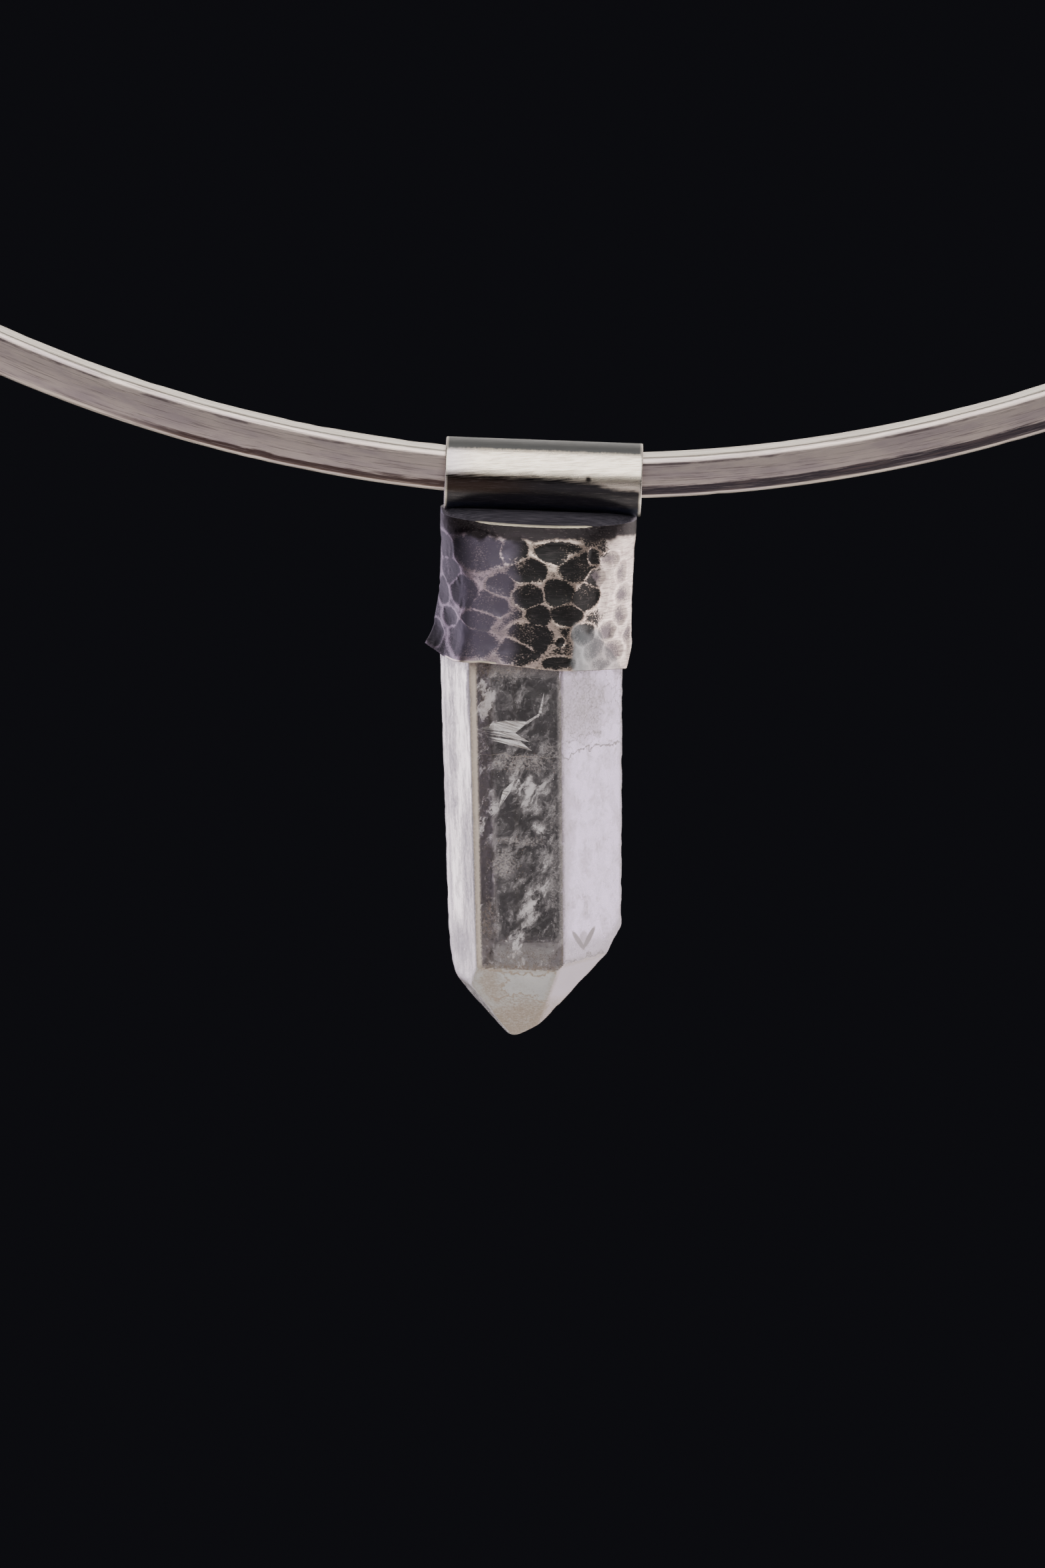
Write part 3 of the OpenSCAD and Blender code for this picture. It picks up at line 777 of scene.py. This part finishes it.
crystalSizes = {"width": 11.28, "turn": 11, "lean": 2.9, "x": -0.36, "rim": 10.6, "taper": 0.75, "slope": 38.2,
                "rootSlope": 16, "root": 6.4, "length": 23.95, "centre": 15.5, "around": 384, "rowStep": 0.25,
                "rootEnd": 1.4, "rootStep": 0.8, "rimTop": 1.3, "rimEnd": -0.3, "rimStep": 0.15,
                "polarStep": 1.0, "polarEnd": 89.5, "sharpness": 160, "worn": 26, "softFrom": 66,
                "softOver": 20, "chip": 0.1, "chipReach": 0.16, "wornReach": 1.6, "chipTop": 0.2,
                "chipBias": 0.12, "chipScale": 1.1}
crystalSides = [
    # azimuth from the front, point's start, root's start
    (0, 18.75, 0.10), (60, 18.35, 0.10), (120, 16.90, 0.95), (180, 18.40, 0.70), (240, 19.90, 0.30),
    (300, 20.00, 0.05)]
shoulderFaces = [
    # azimuth, slope, distance from the axis, drop
    (88, 22, 5.38, 16.9), (268, 9, 5.40, 17.4), (272, 26, 5.10, 19.4)]
faceFinish = {"side0": "front", "side60": "right", "side300": "left", "point0": "point", "tip": "point",
              "point60": "pointRight", "point120": "rearPoint", "point180": "rearPoint",
              "point240": "rearPoint", "point300": "left", "shoulder88": "right",
              "shoulder268": "left", "shoulder272": "left"}


def crystalPlanes(size):
    planes = []

    def behind(name, azimuth, slope, reach, drop):
        a, s = radians(azimuth - 90), radians(slope)
        normal = np.array([cos(a) * cos(s), sin(a) * cos(s), -sin(s)])
        planes.append((name, normal, normal @ np.array([cos(a) * reach, sin(a) * reach, -drop])))

    flat, lost = size["width"] / 2 * cos(radians(30)), tan(radians(size["taper"]))
    for azimuth, start, root in crystalSides:
        behind(f"side{azimuth}", azimuth, size["taper"], flat, 0)
        behind(f"point{azimuth}", azimuth, size["slope"], flat - start * lost, start)
        behind(f"root{azimuth}", azimuth, -size["rootSlope"], flat + root * lost, -root)
    for azimuth, slope, reach, drop in shoulderFaces:
        behind(f"shoulder{azimuth}", azimuth, slope, reach, drop)
    planes.append(("tip", np.array([0, 0, -1.0]), size["length"]))
    planes.append(("top", np.array([0, 0, 1.0]), size["root"]))
    return planes


def crystalFrame(size):
    # from the crystal's own axes to the row frame, in mm
    lean = Matrix.Rotation(radians(-size["lean"]), 4, "Y")
    turn = Matrix.Rotation(radians(-size["turn"]), 4, "Z")
    place = Matrix.Translation(Vector(bore) / mm + Vector((size["x"], 0, -size["rim"])))
    return place @ lean @ turn


def rockQuartz(name, size, finish):
    # clear quartz: its skin carries veils, milky clouds, brown iron specks, healed cracks and etched marks
    finish = {**quartzPlain, **finish}
    material, add, shader = blankMaterial(name)
    back = crystalFrame(size).inverted()
    local = add("ShaderNodeMapping", Location=tuple(back.to_translation()), Rotation=tuple(back.to_euler()),
                Scale=(1000,) * 3, Vector=add("object"))
    swirl = add("ShaderNodeTexNoise", Scale=1.1, Detail=4.0, Roughness=0.6, Vector=local)
    centred = add("subtractVectors", swirl.outputs["Color"], (0.5, 0.5, 0.5))
    bent = add("addVectors", local, add("scaleVector", centred, finish["swirl"]))
    leaning = add("turn", bent, (0, radians(finish["tilt"]), 0))
    wisp = add("noise", add("stretch", leaning, finish["stretch"]), finish["veilScale"], 8.0, 0.68)
    fine = add("noise", local, 7.0, 5.0, 0.75)
    haze = add("fade", wisp, finish["veilFrom"], finish["veilTo"], 0.0, finish["veilMost"])
    # thin bright threads along one level of the same noise
    nearLevel = add("absolute", add("subtract", add("noise", bent, 1.3, 6.0, 0.6, 0.4), 0.5))
    haze = add("add", haze, add("fade", nearLevel, 0.012, 0.0, 0.0, finish["threads"]))

    def blot(ground, s, t, y, halfS, halfT, halfY, tilt):
        # 1 in the middle of an ellipsoid of this size and 0 outside it
        spot = add("ShaderNodeMapping", vector_type="TEXTURE", Location=(s, y, -t),
                   Rotation=(0, radians(tilt), 0), Scale=(halfS, halfY, halfT), Vector=ground)
        return add("ShaderNodeTexGradient", gradient_type="SPHERICAL", Vector=spot).outputs[1]

    stain = 0.0
    for s, t, halfS, halfT, tilt, strength, tone, depth in finish["spots"]:
        cloud = blot(local if tone == "mark" else bent, s, t, depth, halfS, halfT, 4.0, tilt)
        if tone == "mark":
            stain = add("multiplyAdd", add("fade", cloud, 0.0, 0.3), strength, stain)
        elif tone == "white":
            haze = add("multiplyAdd", add("multiply", cloud, add("fade", wisp, 0.4, 0.66)), strength, haze)
        else:
            coarse = add("fade", fine, *((0.42, 0.62) if tone == "brown" else (0.2, 0.6)))
            stain = add("multiplyAdd", add("multiply", add("fade", cloud, 0.0, 0.6), coarse), strength, stain)
    pale = 0.0
    for axis, start, end, strength in finish["bands"]:
        edge = add("multiplyAdd", fine, 0.25, add("split", local).outputs[axis])
        pale = add("multiplyAdd", add("fade", edge, start, end), strength, pale)
    for scale, crackWidth, until, strength in finish["cracks"]:
        cell = add("ShaderNodeTexVoronoi", feature="DISTANCE_TO_EDGE", Scale=scale, Vector=bent)
        line = add("fade", cell.outputs["Distance"], crackWidth, 0.0)
        zone = add("fade", add("split", bent).outputs["Z"], -until - 0.25, -until + 0.25)
        stain = add("multiplyAdd", add("multiply", line, zone), strength, stain)
    for s, t, halfS, halfT, tilt, strength in finish["hairlines"]:
        line = blot(bent, s, t, 0, halfS, halfT, 20.0, tilt)
        stain = add("multiplyAdd", add("fade", line, 0.0, 0.3), strength, stain)
    worn = add("multiply", add("attribute", "worn"), add("fade", fine, 0.3, 0.6, 0.3, 1.0))
    stain = add("multiplyAdd", worn, finish["wear"], stain)
    mottled = add("fade", add("add", fine, wisp), 1.0, 1.3)
    stain = add("clamp", add("multiplyAdd", mottled, finish["mottle"], stain))
    milky = add("clamp", add("add", add("add", add("add", haze, pale), stain), finish["milk"]))
    stained = add("mix", fine, finish["stainLight"], finish["stain"])
    shade = 0.0
    for axis, start, end, strength in finish["shades"]:
        shade = add("maximum", add("fade", add("split", bent).outputs[axis], start, end, 0.0, strength), shade)
    shade = add("multiply", shade, add("fade", haze, 0.45, 0.08))
    shaded = add("mix", shade, finish["light"], "#242224")
    clean = add("mix", add("clamp", pale), shaded, "#ece0d4")
    uneven = add("add", milky, add("multiply", wisp, 0.3))
    setNode(shader, {"Base Color": add("mix", stain, clean, stained), "IOR": 1.544,
                     "Transmission Weight": add("subtract", 1.0, milky),
                     "Roughness": add("fade", uneven, 0.0, 1.0, finish["gloss"], finish["dull"]),
                     "Normal": add("bump", wisp, finish["bump"], 0.02 * mm)})
    return material


quartzPlain = {"stretch": (1, 1, 1), "swirl": 1.0, "tilt": 0, "threads": 0.0, "mottle": 0.0, "spots": [],
               "bands": [], "shades": [], "cracks": [], "hairlines": []}
quartzFinishes = {
    "front": {
        "stretch": (1.6, 1, 0.6), "tilt": -32, "swirl": 0.9, "veilScale": 1.2,
        "veilFrom": 0.47, "veilTo": 0.78,
        "veilMost": 0.5, "threads": 0.25, "milk": 0.01, "light": "#dcd8de", "stainLight": "#a3958c",
        "stain": "#54473f", "gloss": 0.03, "dull": 0.35, "bump": 0.12, "wear": 0.8,
        "spots": [
            # across, down, half width, half height, tilt, strength, kind, depth
            (-1.8, 2.3, 0.7, 1.9, -14, 0.3, "frost", -4.9), (-1.75, 2.3, 0.8, 1.9, -14, 1.7, "white", -4.9),
            (1.0, 14.5, 0.75, 1.9, 32, 1.9, "white", -4.9),
            (1.5, 12.4, 0.4, 1.2, 30, 1.2, "white", -4.9), (1.6, 10.3, 0.5, 1.1, -40, 1.5, "white", -4.9),
            (-1.6, 9.2, 0.5, 1.5, 32, 1.5, "white", -4.9), (0.6, 7.6, 1.6, 1.6, 0, 1.4, "white", -4.9),
            (0.0, 16.9, 0.7, 1.5, 30, 1.6, "white", -4.9), (-2.0, 9.5, 0.42, 16, 0, 0.35, "brown", -4.9),
            (0.2, 6.0, 2.3, 0.7, 0, 0.7, "brown", -4.9), (-0.9, 12.2, 1.2, 1.2, 0, 0.6, "brown", -4.9),
            (0.3, 10.8, 1.9, 0.35, 0, 0.6, "brown", -4.9), (-1.7, 15.6, 0.7, 1.9, 0, 0.5, "brown", -4.9),
            (0.3, 18.15, 3.0, 1.1, 0, 0.6, "brown", -4.9), (-0.6, 0.5, 1.9, 0.6, 0, 0.5, "brown", -4.9),
            (2.1, 5.2, 0.5, 0.8, 0, 0.5, "brown", -4.9), (2.2, 12.0, 0.3, 7.0, 0, 0.25, "brown", -4.9)],
        "bands": [("X", -2.12, -2.34, 0.85)], "shades": [("X", -1.25, -1.6, 0.97), ("Z", -16.7, -17.3, 0.8)],
        "hairlines": [(0.1, 5.55, 2.9, 0.035, 0, 0.6)]},
    "left": {
        "stretch": (1, 1, 0.3), "swirl": 0.5, "veilScale": 2.0, "veilFrom": 0.35, "veilTo": 0.75,
        "veilMost": 0.5, "threads": 0.15, "milk": 0.1, "light": "#f4f1f5", "stainLight": "#cfccd4",
        "stain": "#87858f", "gloss": 0.12, "dull": 0.4, "bump": 0.4, "wear": 0.6, "mottle": 0.25,
        "spots": [
            (-2.75, 1.6, 0.4, 2.6, 3, 1.3, "frost", -4.75), (-3.3, 12.5, 1.2, 6.5, 0, 0.55, "frost", -4.5),
            (-4.6, 6.0, 0.6, 8.0, 0, 0.5, "frost", -3.0), (-4.4, 17.5, 1.6, 2.0, 0, 0.6, "frost", -3.4)]},
    # the right face is tinted lavender: painted light standing in for the lavender light of the rear-left box
    # that shines through it
    "right": {
        "stretch": (1, 1, 0.6), "swirl": 1.8, "veilScale": 1.2, "veilFrom": 0.35, "veilTo": 0.8,
        "veilMost": 0.35, "milk": 0.42, "light": "#e4d8f0", "stainLight": "#b5acb9", "stain": "#766d79",
        "gloss": 0.1, "dull": 0.34, "bump": 0.2, "wear": 0.9, "mottle": 0.3,
        "spots": [
            (3.38, 17.1, 0.12, 0.85, -21, 0.9, "mark", -3.2), (3.87, 17.1, 0.15, 0.75, 23, 1.0, "mark", -2.2),
            (3.62, 17.1, 0.22, 0.6, 0, 0.35, "mark", -2.7), (3.4, 2.6, 2.6, 3.0, 0, 0.5, "frost", -2.7),
            (2.9, 11.0, 0.5, 6.0, 0, 0.2, "frost", -3.9)],
        "cracks": [(0.7, 0.028, 5.4, 0.5)],  # scale, width, drop where they end, strength
        "hairlines": [
            (3.6, 5.5, 3.2, 0.07, 2, 0.9), (3.6, 18.3, 3.0, 0.06, 0, 0.8), (3.2, 4.7, 1.6, 0.05, -12, 0.5)]},
    "rear": {
        "stretch": (1, 1, 0.5), "veilScale": 0.9, "veilFrom": 0.5, "veilTo": 0.85, "veilMost": 0.25,
        "milk": 0.02, "light": "#f2f0f2", "stainLight": "#d5cec6", "stain": "#9c9086",
        "gloss": 0.02, "dull": 0.25, "bump": 0.06, "wear": 0.5},
    "point": {
        "swirl": 1.8, "veilScale": 1.0, "veilFrom": 0.3, "veilTo": 0.7, "veilMost": 0.45,
        "threads": 0.3, "milk": 0.4, "light": "#ced0d4", "stainLight": "#d6c8bd", "stain": "#85766a",
        "mottle": 0.3, "gloss": 0.3, "dull": 0.65, "bump": 0.5, "wear": 0.6,
        "spots": [(-0.3, 22.7, 3.4, 2.4, 0, 1.1, "frost", -1.5), (-2.0, 20.0, 1.0, 1.6, 0, 0.9, "frost", -3.3),
                  (0.0, 21.0, 2.6, 0.5, 0, 0.5, "brown", -3.3)],
        "hairlines": [
            (0, 18.95, 3.0, 0.1, 0, 1.0), (-0.8, 20.7, 1.9, 0.08, -10, 0.9),
            (0.9, 21.2, 1.5, 0.08, 16, 0.9), (-1.2, 20.0, 0.08, 1.2, 8, 0.8)]},
    # tinted lavender too: painted light from the rear-left box
    "pointRight": {
        "swirl": 1.4, "veilScale": 1.0, "veilFrom": 0.3, "veilTo": 0.8, "veilMost": 0.3,
        "threads": 0.3, "milk": 0.75, "light": "#eee3f6", "stainLight": "#d8cccb", "stain": "#a39489",
        "gloss": 0.2, "dull": 0.5, "bump": 0.4, "wear": 0.8,
        "spots": [(1.2, 22.6, 2.6, 2.2, 0, 0.8, "frost", -1.5)]},
    "rearPoint": {
        "veilScale": 1.0, "veilFrom": 0.3, "veilTo": 0.8, "veilMost": 0.2,
        "milk": 0.05, "light": "#f6f3f6", "stainLight": "#dcd3cc", "stain": "#a89b92",
        "gloss": 0.5, "dull": 0.7, "bump": 0.4, "wear": 0.6},
}


def crystalReach(directions, start, planes, sharpness):
    # distance from an inside point to the planes, softened where two of them meet
    reaches = np.stack([np.where((run := directions @ normal) > 1e-6, (distance - start @ normal) / np.maximum(
        run, 1e-6), 1e6) for name, normal, distance in planes])
    nearest = reaches.min(0)
    return nearest * ((nearest / reaches) ** sharpness).sum(0) ** (-1 / sharpness)


def makeCrystal(size, finishes):
    planes = crystalPlanes(size)
    n = size["around"]
    turns = 2 * pi * np.arange(n) / n
    level = np.stack([np.cos(turns), np.sin(turns), 0 * turns], 1)
    sides = [p for p in planes if p[0] not in ("tip", "top")]
    heights = np.concatenate([np.arange(top, end, -step) for top, end, step in (
        (size["root"], size["rootEnd"], size["rootStep"]), (size["rimTop"], size["rimEnd"], size["rimStep"]),
        (size["rimEnd"], -size["centre"], size["rowStep"]))])
    rows = []
    for z in heights:
        start = np.array([0, 0, z])
        rows.append(start + level * crystalReach(level, start, sides, size["sharpness"])[:, None])
    start = np.array([0, 0, -size["centre"]])
    for polar in np.arange(0, size["polarEnd"], size["polarStep"]):
        p = radians(polar)
        heading = level * cos(p) - np.array([0, 0, sin(p)])
        wear = float(smooth((polar - size["softFrom"]) / size["softOver"]))
        soft = size["sharpness"] + (size["worn"] - size["sharpness"]) * wear
        rows.append(start + heading * crystalReach(heading, start, planes, soft)[:, None])
    points = np.concatenate(rows)
    faces = [tuple(reversed(f)) for f in bands(len(rows), n)]
    last = (len(rows) - 1) * n
    faces += [tuple(range(n)), tuple(reversed(range(last, last + n)))]
    # chips: only points near an edge move, so the faces stay flat
    normals = np.array([p[1] for p in planes])
    gaps = np.array([p[2] for p in planes])[:, None] - normals @ points.T
    order = np.argsort(gaps, 0)
    second = gaps[order[1], np.arange(len(points))]
    near = ramp(1 - second / size["chipReach"]) * (points[:, 2] < size["chipTop"])
    for i in np.nonzero(near > 0)[0]:
        x, y, z = points[i]
        depth = size["chip"] * near[i] * max(0.0, size["chipBias"] + noiseAt(x, y, z, size["chipScale"], 5))
        inwards = -(normals[order[0, i]] + normals[order[1, i]])
        points[i] += inwards / np.linalg.norm(inwards) * depth
    worn = ramp(1 - second / (size["chipReach"] * size["wornReach"]))
    toRow = crystalFrame(size)
    placed = [(toRow @ Vector(p)) * mm for p in points]
    names = list(finishes)
    mesh = bpy.data.meshes.new("quartzPoint")
    mesh.from_pydata([tuple(p) for p in placed], [], faces)
    for name in names:
        mesh.materials.append(rockQuartz("rockQuartz" + name[0].upper() + name[1:], size, finishes[name]))
    for face in mesh.polygons:
        middle = points[list(face.vertices)].mean(0)
        distances = [p[2] - p[1] @ middle for p in planes]
        face.material_index = names.index(faceFinish.get(planes[int(np.argmin(distances))][0], "rear"))
    crystal = placeObject("quartzPoint", mesh)
    pointAttribute(crystal, "worn", worn)
    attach(crystal, "pendant")
    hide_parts("crystal_point")


makeCrystal(crystalSizes, quartzFinishes)
print("crystal cut")


# inclusions: a healed fracture shaped like a fish tail, a flash, and specks on hidden veils

inclusionSizes = {"depth": 0.3, "thick": 0.03, "tilt": 0.12, "facet": 4.885}
fractureBlades = [
    # from (across, down), to (across, down), to (across, down), depth added: slim blades out of one root
    ((-2.15, 4.0), (-1.5, 3.62), (-0.1, 4.2), 0.00), ((-1.5, 3.62), (-0.6, 3.45), (-0.1, 4.2), 0.06),
    ((-0.6, 3.45), (0.2, 3.48), (-0.1, 4.2), 0.02), ((0.2, 3.48), (0.55, 3.5), (-0.1, 4.2), 0.08),
    ((0.55, 3.5), (1.2, 3.1), (-0.1, 4.2), 0.03), ((1.2, 3.1), (1.42, 2.92), (1.3, 3.25), 0.05),
    ((1.35, 2.95), (1.7, 1.67), (1.5, 3.0), 0.03), ((1.2, 3.08), (1.45, 3.05), (0.5, 3.75), 0.10),
    ((-2.15, 4.1), (-0.1, 4.22), (0.35, 4.55), 0.05), ((-2.1, 4.25), (0.35, 4.5), (0.7, 4.75), 0.12),
    ((-1.9, 4.45), (0.2, 4.7), (0.85, 5.28), 0.04), ((-1.7, 4.65), (0.2, 4.95), (0.85, 5.28), 0.14)]
flashBlades = [
    ((-0.16, 7.06), (-0.47, 7.83), (-0.9, 7.77), 0.0), ((-0.9, 7.77), (-0.62, 7.86), (-1.2, 8.8), 0.03),
    ((-0.6, 7.86), (-0.47, 7.83), (-1.02, 8.62), 0.06), ((0.05, 7.0), (0.12, 7.1), (-0.2, 7.5), 0.08)]


def makeBlades(name, blades, material, size):
    toRow = crystalFrame(crystalSizes)
    points, faces = [], []
    for a, b, c, extra in blades:
        base = len(points)
        for push in (0.0, size["thick"]):
            for k, (s, t) in enumerate((a, b, c)):
                y = -size["facet"] + t * tan(radians(crystalSizes["taper"])) + size["depth"] + extra + push
                points.append((toRow @ Vector((s, y + size["tilt"] * k, -t))) * mm)
        faces += [(base, base + 1, base + 2), (base + 5, base + 4, base + 3),
                  (base, base + 3, base + 4, base + 1), (base + 1, base + 4, base + 5, base + 2),
                  (base + 2, base + 5, base + 3, base)]
    piece = meshPiece(name, points, faces, material)
    recalculate(piece)
    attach(piece, "pendant")
    return piece


def glowingFractureFilm():
    # air film in a healed crack, silvery white with fine growth lines; it glows by its own emission, painted
    # light standing in for the light the film throws back
    material, add, shader = blankMaterial("glowingFractureAirFilm")
    place = pendantPlace(add)
    turned = add("turn", place, (0, radians(-14), 0))
    lines = add("noise", add("stretch", turned, (0.3, 1, 8)), 2.0, 4.0, 0.6)
    tone = add("mix", add("fade", lines, 0.38, 0.62), "#8b847d", "#fbfaf6")
    # the emission makes the film glow though it is no lamp: painted light
    setNode(shader, {"Base Color": tone, "Emission Color": tone, "Emission Strength": 0.55, "Roughness": 0.35})
    return material


glowingFilm = glowingFractureFilm()
makeBlades("fishTailFracture", fractureBlades, glowingFilm, inclusionSizes)
makeBlades("whiteFlash", flashBlades, glowingFilm, inclusionSizes)
print("fractures healed")


def speckTree(material):
    # scatters flattened specks over a hidden veil
    tree, add, given = startTree("veilSpecks", {"Veil": "Geometry", "Density": "Float", "Speck Size": "Float",
                                                "Seed": "Int"})
    scattered = add("GeometryNodeDistributePointsOnFaces", Mesh=given["Veil"], Density=given["Density"],
                    Seed=given["Seed"])
    shape = add("GeometryNodeMeshIcoSphere", Radius=1.0, Subdivisions=1)
    spread = add("FunctionNodeRandomValue", data_type="FLOAT_VECTOR", Min=(0.3, 0.3, 0.15),
                 Max=(1.3, 1.0, 0.5), Seed=given["Seed"])
    turned = add("FunctionNodeRandomValue", data_type="FLOAT_VECTOR", Max=(6.28, 6.28, 6.28),
                 Seed=given["Seed"])
    placed = add("GeometryNodeInstanceOnPoints", Points=scattered, Instance=shape,
                 Scale=add("scaleVector", spread, given["Speck Size"]), Rotation=turned)
    endTree(add, placed, material)
    return tree


veilPatches = {
    # across, down, half width, half height, depth behind the front face, lean back, density per mm2, size
    "ironSpecks": {"tones": ("#6b5140", "#a88d6f"), "size": 0.045, "seed": 11, "patches": [
        (0.2, 6.0, 2.1, 0.6, 0.35, 0.1, 22), (-0.9, 12.2, 1.2, 1.1, 0.5, 0.3, 14),
        (0.3, 10.8, 1.6, 0.25, 0.3, 0.1, 16), (-1.2, 0.9, 0.7, 0.4, 0.4, 0.2, 14),
        (0.2, 17.6, 2.3, 0.9, 0.4, 0.2, 8)]},
    "whiteSpecks": {"tones": ("#cfcac6", "#ffffff"), "size": 0.032, "seed": 5, "patches": [
        (0.0, 9.5, 2.1, 8.6, 1.2, 1.5, 3.0), (0.9, 14.4, 0.7, 1.2, 0.4, 0.6, 20),
        (0.6, 5.0, 1.4, 0.8, 0.5, 0.2, 7), (0.2, 7.8, 1.3, 0.9, 0.4, 0.3, 8)]},
}


def makeSpecks(name, spec):
    # mineral dust caught while the crystal grew
    material, add, shader = blankMaterial(name + "Mineral")
    place = pendantPlace(add)
    tone = add("mix", add("noise", place, 3.0, 2.0, 0.6), spec["tones"][0], spec["tones"][1])
    gloss = add("fade", add("noise", place, 8.0, 4.0, 0.6), 0.2, 0.8, 0.3, 0.8)
    setNode(shader, {"Base Color": tone, "Roughness": gloss})
    toRow = crystalFrame(crystalSizes)
    specks = []
    for k, (s, t, halfS, halfT, depth, leanBack, density) in enumerate(spec["patches"]):
        corners = []
        for ds, dt in ((-halfS, -halfT), (halfS, -halfT), (halfS, halfT), (-halfS, halfT)):
            y = t * tan(radians(crystalSizes["taper"])) - inclusionSizes["facet"] + depth
            y += leanBack * (dt / halfT + 1) / 2
            corners.append((toRow @ Vector((s + ds, y, -(t + dt)))) * mm)
        sheet = meshPiece("veilSheet", corners, [(0, 1, 2, 3)], material)
        specks.append(runTree(sheet, speckTree(material), {
            "Density": density / mm ** 2, "Speck Size": spec["size"] * mm, "Seed": spec["seed"] + k}, name))
    joined = bmesh.new()
    for part in specks:
        joined.from_mesh(part.data)
        bpy.data.objects.remove(part)
    mesh = bpy.data.meshes.new(name)
    joined.to_mesh(mesh)
    joined.free()
    mesh.materials.append(material)
    piece = placeObject(name, mesh)
    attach(piece, "pendant")
    print(name, len(mesh.polygons), "faces")


for speckName, speckSpec in veilPatches.items():
    makeSpecks(speckName, speckSpec)
print("specks scattered")
